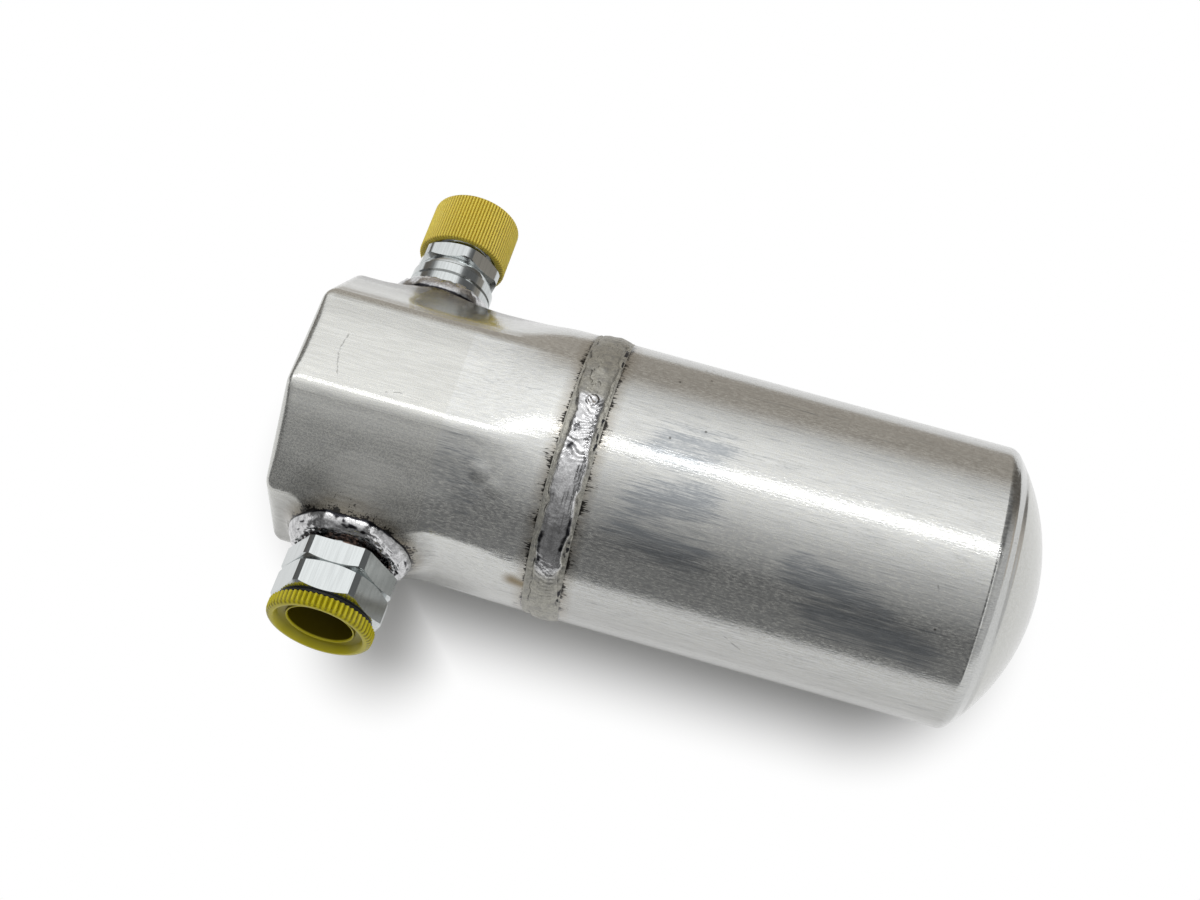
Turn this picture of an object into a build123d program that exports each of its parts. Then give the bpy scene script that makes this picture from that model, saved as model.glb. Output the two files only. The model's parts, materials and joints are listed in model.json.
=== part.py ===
from build123d import *
from math import asin, atan, atan2, cos, degrees, hypot, radians, sin, sqrt, tan
import os

# Suction line accumulator of a vehicle air conditioner, in millimetres.
# It is modelled along X from the flat end of the head (x = 0) to the domed end of the can,
# with the outlet fitting along -Y and the inlet fitting along +Y.
# place() then rolls it onto its inlet cap, as it lies on a table, and puts the origin
# on the can's axis at the middle of the straight that a clamp band grips.

# The vessel
CAN_D = 88.9
WALL = 2.5
LENGTH = 232.0
DOME_R = 64.9
SHOULDER_R = 4.0

# The head: octagonal at its flat end, round where it meets the can
HEAD_SIDES = 8
HEAD_SETBACK = 3.45
HEAD_CORNER_R = 6.0
HEAD_EDGE_R = 4.0
HEAD_END_WALL = 3.0
HEAD_PRISM = 50.0
HEAD_ROUND = 78.0
BLEND_STEPS = 4
LIP_LENGTH = 12.0
LIP_WALL = 2.0
LIP_TAPER = 5.0

# The girth weld between head and can
WELD_X = 88.0
WELD_WIDTH = 11.5
WELD_CROWN = 1.3
WELD_ROOT_GAP = 1.6
WELD_FUSION = 1.5
WELD_TOE = 0.75
WELD_FULLNESS = 0.7

# Both fittings: on opposite flats of the head, with heights measured from the flat
PORT_X = 28.0
SPIGOT_D = 23.0
SPIGOT_REACH = 0.3
TUBE_D = 15.9
TUBE_WALL = 1.25
GROOVE_DEPTH = 0.5
THREAD_CLEARANCE = 0.2
THREAD_LEAD_IN = 1.0

# Outlet: a hexagon with an internal 1 1/16 in - 14 thread
OUT_END = 26.7
OUT_HEX_BASE = 10.0
OUT_AF = 30.6
OUT_TURNED_D = 34.2
OUT_NECK_D = 27.0
OUT_GROOVE_S = 17.2
OUT_GROOVE_FLARE = 9.0
OUT_THREAD_D = 27.0
OUT_THREAD_DEPTH = 15.5
OUT_WELD_D = 38.6
OUT_WELD_TOP = 5.5
TUBE_SOCKET_END = 5.0
HEX_CHAMFER_ANGLE = 30.0

# Inlet: a turned neck, a narrow hexagon and a nose with an external 7/8 in - 14 thread
IN_END = 40.0
IN_HEX_BASE = 18.6
IN_HEX_TOP = 24.5
IN_AF = 25.4
IN_TURNED_D = 28.0
IN_NECK_D = 27.4
IN_WAIST_D = 25.4
IN_WAIST_S = 16.6
IN_GROOVE_S = 12.0
IN_THREAD_D = 22.2
IN_RELIEF_D = 20.0
IN_RELIEF_LENGTH = 2.2
IN_BORE_D = 14.6
IN_WELD_D = 38.0
IN_WELD_TOP = 7.0

# Screw cap over the inlet nose
CAP_D = 29.2
CAP_RIM = 25.8
CAP_END = 43.7
CAP_RIBS = 84
CAP_RIB_DEPTH = 0.35
CAP_EDGE_R = 1.0
WASHER_THICK = 1.5
WASHER_PLAY = 0.1

# Screw plug in the outlet
PLUG_D = 33.0
PLUG_END = 32.4
PLUG_SEAT_GAP = 1.6
PLUG_RIBS = 60
PLUG_RIB_DEPTH = 0.8
PLUG_EDGE_R = 1.9
PLUG_SHANK_END = 14.5
PLUG_RECESS_D = 28.0
PLUG_RECESS_DEPTH = 2.6
PLUG_HOLE_D = 20.2
PLUG_FLOOR = 2.5
O_RING_WIDTH = 2.0

# The pickup tube: outlet leg, return bend at the dome, open intake leg
INTAKE_X = 57.0
BRAZE_LEG = 2.0
TUBE_STRAIGHT = 1.2
BLEED_D = 1.6

# Deflector dish over the intake, held by a collar on the outlet leg
DISH_X = 48.0
DISH_D = 68.0
DISH_SHEET = 1.2
DISH_SKIRT = 7.0
DISH_COLLAR = 6.0

# Spacer ring that keeps both legs off the wall
SPACER_SETBACK = 12.0
SPACER_THICK = 4.0
SPACER_RIM = 4.0
SPACER_BAR = 21.0
SPACER_GAP = 0.3

# Oil filter clipped on the return bend, over the bleed hole
FILTER_LENGTH = 9.0
FILTER_GAP = 3.0
FILTER_CRADLE_D = 21.0
FILTER_CRADLE_GRIP = 3.0
FILTER_CRADLE_LIP = 1.5
FILTER_CAGE_D = 15.0
FILTER_BORE_D = 12.6
FILTER_FLOOR = 1.4
FILTER_WINDOWS = 4
FILTER_WINDOW_WIDTH = 6.0
SCREEN_WALL = 0.3

# Desiccant bag strapped to the intake leg
BAG_START_GAP = 15.0
BAG_END_GAP = 12.0
BAG_CLEARANCE = 1.45
BAG_OFFSET = 12.0
BAG_END_R = 10.0
BAG_SEAM = 6.0
BAG_SEAM_WIDTH = 22.0
BAG_SEAM_THICK = 1.6
STRAP_WIDTH = 5.0
STRAP_THICK = 1.0
STRAP_SPACING = 0.55     # share of the bag's length

CUT = 60.0              # reach of tools that pass right through a piece

# Derived sizes
CAN_R = CAN_D / 2
BORE_R = CAN_R - WALL
TUBE_R = TUBE_D / 2
FLAT = CAN_R - HEAD_SETBACK
HALF_SIDE = radians(180 / HEAD_SIDES)
FLAT_HALF_WIDTH = (FLAT - HEAD_CORNER_R) * tan(HALF_SIDE)
CORNER_REACH = (FLAT - HEAD_CORNER_R) / cos(HALF_SIDE) + HEAD_CORNER_R
SHOULDER_X = LENGTH - DOME_R + sqrt(DOME_R**2 - CAN_R**2)
WELD_R = CAN_R + WELD_CROWN
SEAT_X = (WELD_X + WELD_WIDTH / 2 + SHOULDER_X) / 2
HEAD_STOP = WELD_X - WELD_ROOT_GAP / 2
CAN_START = WELD_X + WELD_ROOT_GAP / 2
SPIGOT_END = -WALL - SPIGOT_REACH
NOSE_R = IN_THREAD_D / 2
SHANK_R = OUT_THREAD_D / 2 - THREAD_CLEARANCE / 2
PLUG_SEAT = OUT_END + PLUG_SEAT_GAP
CAP_CEILING = IN_END + WASHER_THICK + WASHER_PLAY
# Below the braze and a short straight, one elbow lays the outlet leg parallel to the can.
# Its radius is the leg's offset, and the return bend has the same one.
LEG_OFFSET = (FLAT + SPIGOT_END - BRAZE_LEG - TUBE_STRAIGHT) / 2
RETURN_X = LENGTH - WALL - FILTER_GAP - FILTER_LENGTH - TUBE_R - LEG_OFFSET
BEND_BOTTOM = RETURN_X + LEG_OFFSET + TUBE_R
SPACER_X = RETURN_X - SPACER_SETBACK
LIP_BORE = BORE_R - LIP_WALL

# The bag touches the intake leg and just clears the head's lip with its straps on
BAG_REACH = LIP_BORE - STRAP_THICK - BAG_CLEARANCE
BAG_R = (BAG_REACH**2 - TUBE_R**2 + LEG_OFFSET**2 - 2 * LEG_OFFSET * BAG_OFFSET) / (
    2 * (BAG_REACH + TUBE_R)
)
BAG_HEIGHT = sqrt((BAG_R + TUBE_R)**2 - (LEG_OFFSET - BAG_OFFSET)**2)
BAG_START = INTAKE_X + BAG_START_GAP + BAG_SEAM
BAG_LENGTH = SPACER_X - BAG_END_GAP - BAG_SEAM - BAG_START
BAG_X = BAG_START + BAG_LENGTH / 2

# The roll that brings the cap's rounded edge and the girth weld down to one table
EDGE_S = FLAT + CAP_END - CAP_EDGE_R
EDGE_R = CAP_D / 2 - CAP_EDGE_R
ROLL = asin((WELD_R - CAP_EDGE_R) / hypot(EDGE_S, EDGE_R)) - atan2(EDGE_R, EDGE_S)


def place(shape):
    """From the modelling position to the part's own frame."""
    return Pos(-SEAT_X, 0, 0) * Rot(X=-degrees(ROLL)) * shape


def on_port(shape, side):
    """A piece turned about Z, stood on the flat of the outlet (side -1) or the inlet (+1)."""
    port = Plane((PORT_X, side * FLAT, 0), x_dir=(1, 0, 0), z_dir=(0, side, 0))
    return port.location * shape


def turned(points):
    """Solid of revolution about Z from (radius, height) points."""
    return revolve(Plane.XZ * make_face(Polyline(*points, close=True)), Axis.Z)


def spun(points):
    """Solid of revolution about the can's axis from (x, radius) points."""
    return revolve(make_face(Polyline(*points, close=True)), Axis.X)


def rod(radius, start, end):
    """Cylinder about Z between two heights."""
    return Pos(Z=start) * Cylinder(radius, end - start, align=(Align.CENTER, Align.CENTER, Align.MIN))


def bar(radius, start, end):
    """Cylinder about the can's axis between two stations."""
    return Pos(X=start) * Rot(Y=90) * Cylinder(
        radius, end - start, align=(Align.CENTER, Align.CENTER, Align.MIN)
    )


def head_section(x, roundness, inset):
    """Cross-section of the head: octagon with rounded corners at 0, circle at 1.

    The flats bow out and the corners open up in tangent arcs as it grows round.
    """
    flat = FLAT + roundness * (CAN_R - FLAT) - inset
    corner = CORNER_REACH + roundness * (CAN_R - CORNER_REACH) - inset
    bow = roundness * atan(FLAT_HALF_WIDTH / FLAT)

    def at(angle, reach, across=0.0):
        return (
            x,
            reach * cos(angle) - across * sin(angle),
            reach * sin(angle) + across * cos(angle),
        )

    if roundness > 0:
        squeeze = cos((HALF_SIDE + bow) / 2) / cos((HALF_SIDE - bow) / 2)
        radius = (corner - flat * squeeze) / (1 - squeeze)
        ends = radius * cos(bow) - (radius - flat), radius * sin(bow)
    else:
        ends = flat, FLAT_HALF_WIDTH
    edges = []
    for side in range(HEAD_SIDES):
        angle = 2 * side * HALF_SIDE
        start = at(angle, ends[0], -ends[1])
        end = at(angle, ends[0], ends[1])
        following = at(angle + 2 * HALF_SIDE, ends[0], -ends[1])
        if roundness > 0:
            edges.append(ThreePointArc(start, at(angle, flat), end))
        else:
            edges.append(Line(start, end))
        edges.append(ThreePointArc(end, at(angle + HALF_SIDE, corner), following))
    return Face(Wire(edges))


def head_form(start, end, inset, edge_r):
    """Octagonal prism, blend and round collar of the head, solid, inset by a wall."""
    prism = extrude(head_section(start, 0, inset), HEAD_PRISM - start, dir=(1, 0, 0))
    prism = fillet(prism.faces().sort_by(Axis.X)[0].edges(), edge_r)
    sections = []
    for step in range(BLEND_STEPS + 1):
        share = step / BLEND_STEPS
        roundness = share * share * (3 - 2 * share)
        x = HEAD_PRISM + share * (HEAD_ROUND - HEAD_PRISM)
        sections.append(head_section(x, roundness, inset))
    return prism + loft(sections) + bar(CAN_R - inset, HEAD_ROUND, end)


def ribbed_rod(radius, depth, count, start, end):
    """Rod about Z with straight V ribs around it."""
    points = []
    for rib in range(count):
        for offset, reach in ((0, radius), (0.5, radius - depth)):
            angle = radians(360 * (rib + offset) / count)
            points.append((reach * cos(angle), reach * sin(angle)))
    return extrude(Pos(Z=start) * make_face(Polyline(*points, close=True)), end - start)


def weld_collar(neck_d, outer_d, top):
    """Fillet weld around a fitting's neck, deep enough to be cut to the head's flats."""
    neck, outer = neck_d / 2, outer_d / 2
    crown = Plane.XZ * ThreePointArc(
        (outer, WELD_TOE),
        ((neck + outer * 2) / 3, top * WELD_FULLNESS),
        (neck, top),
    )
    sides = Plane.XZ * Polyline(
        (neck, top),
        (neck, 0),
        (neck, SPIGOT_END),
        (outer, SPIGOT_END),
        (outer, WELD_TOE),
    )
    return revolve(make_face(crown + sides), Axis.Z)


def hexagon(across_flats, turned_d, base, top, base_angle, top_angle):
    """Hexagon bar turned down on its corners, with a chamfer cone at each end."""
    prism = extrude(
        Pos(Z=base) * RegularPolygon(across_flats / 2, 6, major_radius=False), top - base
    )
    reach = turned_d / 2
    inner = across_flats / 2 - GROOVE_DEPTH
    base_rise = (reach - inner) * tan(radians(base_angle))
    top_rise = (reach - inner) * tan(radians(top_angle))
    envelope = turned([
        (0, base),
        (inner, base),
        (reach, base + base_rise),
        (reach, top - top_rise),
        (inner, top),
        (0, top),
    ])
    return prism & envelope


# Girth weld: a crowned bead fused in a wide V from toe to toe, and down the gap to the head's lip
weld_edge = WELD_WIDTH / 2
crown = ThreePointArc((WELD_X - weld_edge, CAN_R), (WELD_X, WELD_R), (WELD_X + weld_edge, CAN_R))
root = Polyline(
    (WELD_X + weld_edge, CAN_R),
    (CAN_START, CAN_R - WELD_FUSION),
    (CAN_START, BORE_R),
    (HEAD_STOP, BORE_R),
    (HEAD_STOP, CAN_R - WELD_FUSION),
    (WELD_X - weld_edge, CAN_R),
)
girth_weld = revolve(make_face(crown + root), Axis.X)

# Head shell: drawn wall with a thicker rim that is turned to a lip inside the can
head_outside = head_form(0, HEAD_STOP, 0, HEAD_EDGE_R)
lip_end = CAN_START + LIP_LENGTH
rim = spun([
    (HEAD_STOP - LIP_TAPER, BORE_R + WALL / 2),
    (HEAD_STOP - LIP_TAPER, BORE_R),
    (HEAD_STOP - LIP_WALL, LIP_BORE),
    (lip_end, LIP_BORE),
    (lip_end, BORE_R),
    (HEAD_STOP, BORE_R),
    (HEAD_STOP, BORE_R + WALL / 2),
])
head_cavity = head_form(HEAD_END_WALL, HEAD_STOP + 1, WALL, HEAD_EDGE_R - WALL)
head_shell = head_outside - head_cavity + rim
for side in (-1, 1):
    head_shell -= on_port(rod(SPIGOT_D / 2, -CUT / 2, CUT), side)
head_shell -= girth_weld

# Can shell: straight wall and domed end in one piece


def can_form(start, inset):
    """Solid cylinder with a domed end and a rounded shoulder, inset by a wall."""
    radius = CAN_R - inset
    dome_r = DOME_R - inset
    centre = LENGTH - DOME_R
    shoulder = (centre + sqrt(dome_r**2 - radius**2), radius)
    middle = atan2(radius, shoulder[0] - centre) / 2
    outline = Polyline((LENGTH - inset, 0), (start, 0), (start, radius), shoulder)
    outline += ThreePointArc(
        shoulder,
        (centre + dome_r * cos(middle), dome_r * sin(middle)),
        (LENGTH - inset, 0),
    )
    profile = make_face(outline)
    corner = profile.vertices().sort_by_distance((*shoulder, 0))[0]
    return revolve(fillet(corner, SHOULDER_R - inset), Axis.X)


can_shell = can_form(CAN_START, 0) - can_form(CAN_START - 1, WALL) - girth_weld

# Outlet fitting
neck = OUT_NECK_D / 2
outlet = rod(neck, 0, OUT_HEX_BASE) + rod(SPIGOT_D / 2, SPIGOT_END, 0)
outlet += hexagon(OUT_AF, OUT_TURNED_D, OUT_HEX_BASE, OUT_END, 0, HEX_CHAMFER_ANGLE)
groove_floor = OUT_AF / 2 - GROOVE_DEPTH
outlet -= turned([
    (groove_floor, OUT_GROOVE_S),
    (OUT_TURNED_D, OUT_GROOVE_S - OUT_GROOVE_FLARE),
    (OUT_TURNED_D, OUT_GROOVE_S + OUT_GROOVE_FLARE),
])
thread_bore = OUT_THREAD_D / 2 + THREAD_CLEARANCE / 2
thread_base = OUT_END - OUT_THREAD_DEPTH
flow_bore = TUBE_R - TUBE_WALL
outlet -= turned([
    (0, SPIGOT_END),
    (TUBE_R, SPIGOT_END),
    (TUBE_R, TUBE_SOCKET_END),
    (flow_bore, TUBE_SOCKET_END),
    (flow_bore, thread_base - TUBE_WALL),
    (thread_bore, thread_base),
    (thread_bore, OUT_END - THREAD_CLEARANCE * 3),
    (thread_bore + THREAD_CLEARANCE * 3, OUT_END),
    (0, OUT_END),
])
outlet_fitting = on_port(outlet, -1)

# Inlet fitting
half_neck = IN_NECK_D / 2
waist = IN_WAIST_D / 2
hex_inner = IN_AF / 2 - GROOVE_DEPTH
inlet = turned([
    (0, SPIGOT_END),
    (SPIGOT_D / 2, SPIGOT_END),
    (SPIGOT_D / 2, 0),
    (half_neck, 0),
    (half_neck, IN_GROOVE_S - GROOVE_DEPTH),
    (half_neck - GROOVE_DEPTH, IN_GROOVE_S),
    (half_neck, IN_GROOVE_S + GROOVE_DEPTH),
    (half_neck, IN_WAIST_S - (half_neck - waist)),
    (waist, IN_WAIST_S),
    (waist, IN_WAIST_S + GROOVE_DEPTH),
    (hex_inner, IN_HEX_BASE),
    (hex_inner, IN_HEX_TOP),
    (IN_RELIEF_D / 2, IN_HEX_TOP),
    (IN_RELIEF_D / 2, IN_HEX_TOP + IN_RELIEF_LENGTH),
    (NOSE_R, IN_HEX_TOP + IN_RELIEF_LENGTH + NOSE_R - IN_RELIEF_D / 2),
    (NOSE_R, IN_END - THREAD_LEAD_IN),
    (NOSE_R - THREAD_LEAD_IN, IN_END),
    (0, IN_END),
])
inlet += hexagon(
    IN_AF, IN_TURNED_D, IN_HEX_BASE, IN_HEX_TOP, HEX_CHAMFER_ANGLE, HEX_CHAMFER_ANGLE
)
inlet -= rod(IN_BORE_D / 2, SPIGOT_END, IN_END)
inlet_fitting = on_port(inlet, 1)

# Weld collars, trimmed to the flats and corners they lie on
outlet_weld = on_port(weld_collar(OUT_NECK_D, OUT_WELD_D, OUT_WELD_TOP), -1) - head_outside
inlet_weld = on_port(weld_collar(IN_NECK_D, IN_WELD_D, IN_WELD_TOP), 1) - head_outside

# Inlet cap and the washer under its end wall
cap_r = CAP_D / 2
cap_bore = NOSE_R + THREAD_CLEARANCE
cap = ribbed_rod(cap_r, CAP_RIB_DEPTH, CAP_RIBS, CAP_RIM, CAP_END)
cap_envelope = fillet(
    rod(cap_r, CAP_RIM, CAP_END).edges().filter_by(GeomType.CIRCLE).sort_by(Axis.Z)[-1],
    CAP_EDGE_R,
)
cap = (cap & cap_envelope) - turned([
    (0, CAP_RIM),
    (cap_bore + THREAD_LEAD_IN, CAP_RIM),
    (cap_bore, CAP_RIM + THREAD_LEAD_IN),
    (cap_bore, CAP_CEILING),
    (0, CAP_CEILING),
])
inlet_cap = on_port(cap, 1)
inlet_cap_washer = on_port(rod(NOSE_R, IN_END, IN_END + WASHER_THICK), 1)

# Outlet plug: knurled flange, hollow shank, and the seal ring under the flange
plug_r = PLUG_D / 2
flange = ribbed_rod(plug_r, PLUG_RIB_DEPTH, PLUG_RIBS, PLUG_SEAT, PLUG_END)
flange_envelope = fillet(
    rod(plug_r, PLUG_SEAT, PLUG_END).edges().filter_by(GeomType.CIRCLE).sort_by(Axis.Z)[-1],
    PLUG_EDGE_R,
)
plug = (flange & flange_envelope) + rod(SHANK_R - THREAD_CLEARANCE / 2, PLUG_SHANK_END, PLUG_SEAT)
plug = chamfer(
    plug.edges().filter_by(GeomType.CIRCLE).sort_by(Axis.Z)[0], THREAD_LEAD_IN
)
recess_floor = PLUG_END - PLUG_RECESS_DEPTH
plug -= turned([
    (0, PLUG_SHANK_END + PLUG_FLOOR),
    (PLUG_HOLE_D / 2, PLUG_SHANK_END + PLUG_FLOOR),
    (PLUG_HOLE_D / 2, recess_floor),
    (PLUG_RECESS_D / 2 - PLUG_RECESS_DEPTH / 4, recess_floor),
    (PLUG_RECESS_D / 2, PLUG_END),
    (0, PLUG_END),
])
outlet_plug = on_port(plug, -1)
ring_r = SHANK_R + O_RING_WIDTH / 2
ring_section = Plane.XZ * Pos(ring_r, OUT_END + PLUG_SEAT_GAP / 2) * Ellipse(
    O_RING_WIDTH / 2, PLUG_SEAT_GAP / 2
)
outlet_plug_o_ring = on_port(revolve(ring_section, Axis.Z), -1)

# Pickup tube and the braze that joins it to the outlet fitting
socket = FLAT + TUBE_SOCKET_END
tube_path = Wire([
    Line((PORT_X, -socket), (PORT_X, -2 * LEG_OFFSET)),
    RadiusArc((PORT_X, -2 * LEG_OFFSET), (PORT_X + LEG_OFFSET, -LEG_OFFSET), LEG_OFFSET),
    Line((PORT_X + LEG_OFFSET, -LEG_OFFSET), (RETURN_X, -LEG_OFFSET)),
    ThreePointArc(
        (RETURN_X, -LEG_OFFSET), (RETURN_X + LEG_OFFSET, 0), (RETURN_X, LEG_OFFSET)
    ),
    Line((RETURN_X, LEG_OFFSET), (INTAKE_X, LEG_OFFSET)),
])
tube_start = Plane((PORT_X, -socket, 0), z_dir=(0, 1, 0))
tube_outside = sweep(tube_start * Circle(TUBE_R), tube_path)
tube_inside = sweep(tube_start * Circle(TUBE_R - TUBE_WALL), tube_path)
pickup_tube = tube_outside - tube_inside - bar(BLEED_D / 2, BEND_BOTTOM - TUBE_R, BEND_BOTTOM + 1)
tube_braze = on_port(
    turned([
        (TUBE_R, SPIGOT_END),
        (TUBE_R + BRAZE_LEG, SPIGOT_END),
        (TUBE_R, SPIGOT_END - BRAZE_LEG),
    ]),
    -1,
)

# Deflector: one pressed dish with a skirt, and a collar drawn down the outlet leg
dish_r = DISH_D / 2
collar_r = TUBE_R + DISH_SHEET
dish = bar(dish_r, DISH_X, DISH_X + DISH_SKIRT)
dish -= bar(dish_r - DISH_SHEET, DISH_X + DISH_SHEET, DISH_X + DISH_SKIRT)
outlet_leg = Pos(Y=-LEG_OFFSET)
dish += outlet_leg * bar(collar_r, DISH_X, DISH_X + DISH_COLLAR)
deflector = dish - outlet_leg * bar(TUBE_R, 0, LENGTH)

# Spacer: a rim inside the can, joined by a bar with an eye for each leg
spacer_r = BORE_R - SPACER_GAP
spacer_end = SPACER_X + SPACER_THICK
spacer_disc = bar(spacer_r, SPACER_X, spacer_end)
spacer_rim = spacer_disc - bar(spacer_r - SPACER_RIM, SPACER_X, spacer_end)
spacer_bar = spacer_disc & Pos(X=SPACER_X) * Box(
    SPACER_THICK, CAN_D, SPACER_BAR, align=(Align.MIN, Align.CENTER, Align.CENTER)
)
tube_spacer = spacer_rim + spacer_bar
for side in (-1, 1):
    tube_spacer -= Pos(Y=side * LEG_OFFSET) * bar(TUBE_R, 0, LENGTH)

# Oil filter: cradle on the bend, windowed cage below it, screen sleeve inside the cage
bend_x = RETURN_X + LEG_OFFSET
filter_end = BEND_BOTTOM + FILTER_LENGTH
cage_start = BEND_BOTTOM + FILTER_CRADLE_LIP
cradle = bar(FILTER_CRADLE_D / 2, bend_x - FILTER_CRADLE_GRIP, cage_start) - tube_outside
filter_body = cradle + bar(FILTER_CAGE_D / 2, cage_start, filter_end)
filter_body -= bar(FILTER_BORE_D / 2, bend_x, filter_end - FILTER_FLOOR)
window = Pos(X=cage_start + FILTER_FLOOR) * Box(
    filter_end - cage_start - 2 * FILTER_FLOOR,
    CAN_D / 2,
    FILTER_WINDOW_WIDTH,
    align=(Align.MIN, Align.MIN, Align.CENTER),
)
for turn in range(FILTER_WINDOWS):
    filter_body -= Rot(X=360 * (turn + 0.5) / FILTER_WINDOWS) * window
oil_filter_body = filter_body
screen_start = BEND_BOTTOM + SCREEN_WALL
screen_end = filter_end - FILTER_FLOOR
oil_filter_screen = bar(FILTER_BORE_D / 2, screen_start, screen_end) - bar(
    FILTER_BORE_D / 2 - SCREEN_WALL, screen_start, screen_end
)

# Desiccant bag with flat sewn ends, lying on the intake leg
bag_place = Pos(0, BAG_OFFSET, BAG_HEIGHT)
bag_body = bar(BAG_R, BAG_START, BAG_START + BAG_LENGTH)
bag_body = fillet(bag_body.edges().filter_by(GeomType.CIRCLE), BAG_END_R)
bag_seam = Pos(X=BAG_X) * Box(BAG_LENGTH + 2 * BAG_SEAM, BAG_SEAM_WIDTH, BAG_SEAM_THICK)
bag_seam = fillet(bag_seam.edges().filter_by(Axis.Z), BAG_SEAM / 2)
desiccant_bag = bag_place * (bag_body + bag_seam)


def strap_loop(grow):
    """Belt line around the bag and the intake leg, in the can's cross-section."""
    circles = [
        (BAG_OFFSET, BAG_HEIGHT, BAG_R + grow),
        (LEG_OFFSET, 0, TUBE_R + grow),
    ]
    outlines = [edge for y, z, r in circles for edge in (Pos(y, z) * Circle(r)).edges()]
    return make_hull(outlines)


strap_face = Plane.YZ * (strap_loop(STRAP_THICK) - strap_loop(0))
bag_straps = Part()
for side in (-1, 1):
    strap_x = BAG_X + side * STRAP_SPACING * BAG_LENGTH / 2 - STRAP_WIDTH / 2
    bag_straps += Pos(X=strap_x) * extrude(strap_face, STRAP_WIDTH, dir=(1, 0, 0))

NODES = {
    "head_shell": head_shell,
    "can_shell": can_shell,
    "girth_weld": girth_weld,
    "outlet_fitting": outlet_fitting,
    "outlet_weld": outlet_weld,
    "outlet_plug": outlet_plug,
    "outlet_plug_o_ring": outlet_plug_o_ring,
    "inlet_fitting": inlet_fitting,
    "inlet_weld": inlet_weld,
    "inlet_cap": inlet_cap,
    "inlet_cap_washer": inlet_cap_washer,
    "pickup_tube": pickup_tube,
    "tube_braze": tube_braze,
    "deflector": deflector,
    "tube_spacer": tube_spacer,
    "oil_filter_body": oil_filter_body,
    "oil_filter_screen": oil_filter_screen,
    "desiccant_bag": desiccant_bag,
    "bag_straps": bag_straps,
}

os.makedirs("parts", exist_ok=True)
for name, shape in NODES.items():
    export_step(place(shape), f"parts/{name}.step")
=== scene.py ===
import json
from math import atan2, cos, pi, radians, sin, tan

import bmesh
import bpy
import numpy as np
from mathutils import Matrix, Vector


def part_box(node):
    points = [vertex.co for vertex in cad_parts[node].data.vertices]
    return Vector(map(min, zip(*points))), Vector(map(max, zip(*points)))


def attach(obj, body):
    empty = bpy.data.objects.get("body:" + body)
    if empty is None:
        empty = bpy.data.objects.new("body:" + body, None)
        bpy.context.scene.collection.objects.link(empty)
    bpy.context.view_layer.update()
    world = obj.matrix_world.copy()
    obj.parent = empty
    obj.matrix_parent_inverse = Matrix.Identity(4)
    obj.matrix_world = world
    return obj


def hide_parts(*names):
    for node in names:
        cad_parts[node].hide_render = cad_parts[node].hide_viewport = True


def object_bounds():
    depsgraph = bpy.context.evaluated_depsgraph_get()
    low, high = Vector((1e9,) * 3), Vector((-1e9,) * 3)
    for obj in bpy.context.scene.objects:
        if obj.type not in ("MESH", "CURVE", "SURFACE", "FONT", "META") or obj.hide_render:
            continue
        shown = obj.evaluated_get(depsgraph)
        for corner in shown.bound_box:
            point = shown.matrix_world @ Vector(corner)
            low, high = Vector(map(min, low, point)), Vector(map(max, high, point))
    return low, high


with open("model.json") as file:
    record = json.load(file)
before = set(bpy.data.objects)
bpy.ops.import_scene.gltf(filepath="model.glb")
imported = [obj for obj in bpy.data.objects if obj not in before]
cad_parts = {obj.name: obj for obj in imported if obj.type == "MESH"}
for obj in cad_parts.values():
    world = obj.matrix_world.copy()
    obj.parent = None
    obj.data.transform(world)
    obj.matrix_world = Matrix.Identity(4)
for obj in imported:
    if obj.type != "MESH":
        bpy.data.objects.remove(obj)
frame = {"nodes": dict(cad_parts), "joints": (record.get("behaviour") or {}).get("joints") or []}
cad_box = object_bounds()
nodes = frame["nodes"]


# The can and the head: two deep-drawn cups of 3003 aluminium, washed and left bare.
# The can ends in a dome, the head is pressed to an octagon. A white bloom of oxide
# covers them with fine grain, and where it is rubbed off the metal is darker and shinier.

MM = 0.001
CAN_R = 44.45
SEAT_X = 154.07                         # from the head's flat end to the frame's origin
FLAT = 41.0                             # from the axis to the head's flats
FLAT_TURN = 0.5026                      # how far the flats are rolled, in eighths of a turn
DIE_EDGE = 48.3                         # where the press's die stopped, from the flat end
HEAD_ROUND = 72.0                       # where the flats have run out, from the flat end
NOT_PRESSED = -2 * SEAT_X               # off the part: the can was in no die
SHOULDER_X = 62.2                       # where the can's wall turns into its dome, from the origin
GIRTH_X = 88.0                          # middle of the girth weld, from the flat end
GIRTH_WIDTH = 11.5
GRAIN_LONG = 9.0                        # rubbed lines along the axis: length and width
GRAIN_FINE = 0.4                        # a real line is under 0.1, too fine to show
SPECKLE = 0.45                          # grain of the bloom, drawn coarser for the same reason
FLECK_LONG = 1.3                        # where it is rubbed, the flecks lie along the axis
RUBBED = 12.0                           # size of the patches where the bloom is gone
STREAK_LONG = 28.8                      # clouds in the bloom, drawn out along the axis
STREAK_WIDE = 2.2
SOOT_HAIR = (2.2, 0.35, 0.35)           # soot beside the seam lies in hairs along the axis
SOOT_DRIFT = 4.5                        # size of the drifts that the hairs lie in
SEAM_SOOT = 4.0                         # how far it reaches beside the seam
PORT_TOE = 19.0                         # radius of the fittings' weld toes
PORT_SOOT = 23.2                        # how far soot, and then the painted shade, reach round them
PORT_SHADE_REACH = 30.0
BLOOM = "c8c8c3"
BARE = "bbbcbb"
RUBBED_BARE = "8f9499"
# colour of the painted shade low on the part and round the outlet
PAINTED_SHADE_TINT = "4a473f"
SOOT = "1c1915"
SCORCH = "7d7058"
SCRATCH = "2b2a27"
SCRATCH_WAVER = 2.222                   # length of the wavers in a scratch, and how far they stray
SCRATCH_SWAY = 0.7
SCRATCH_HALF = 0.34                     # half width of a scratch
PIT_R = 0.6
DENT_R = 4.5                            # of the dents and of the burnt spots
inlet_joint = next(j for j in frame["joints"] if j["name"] == "inlet_cap_turn")
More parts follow.
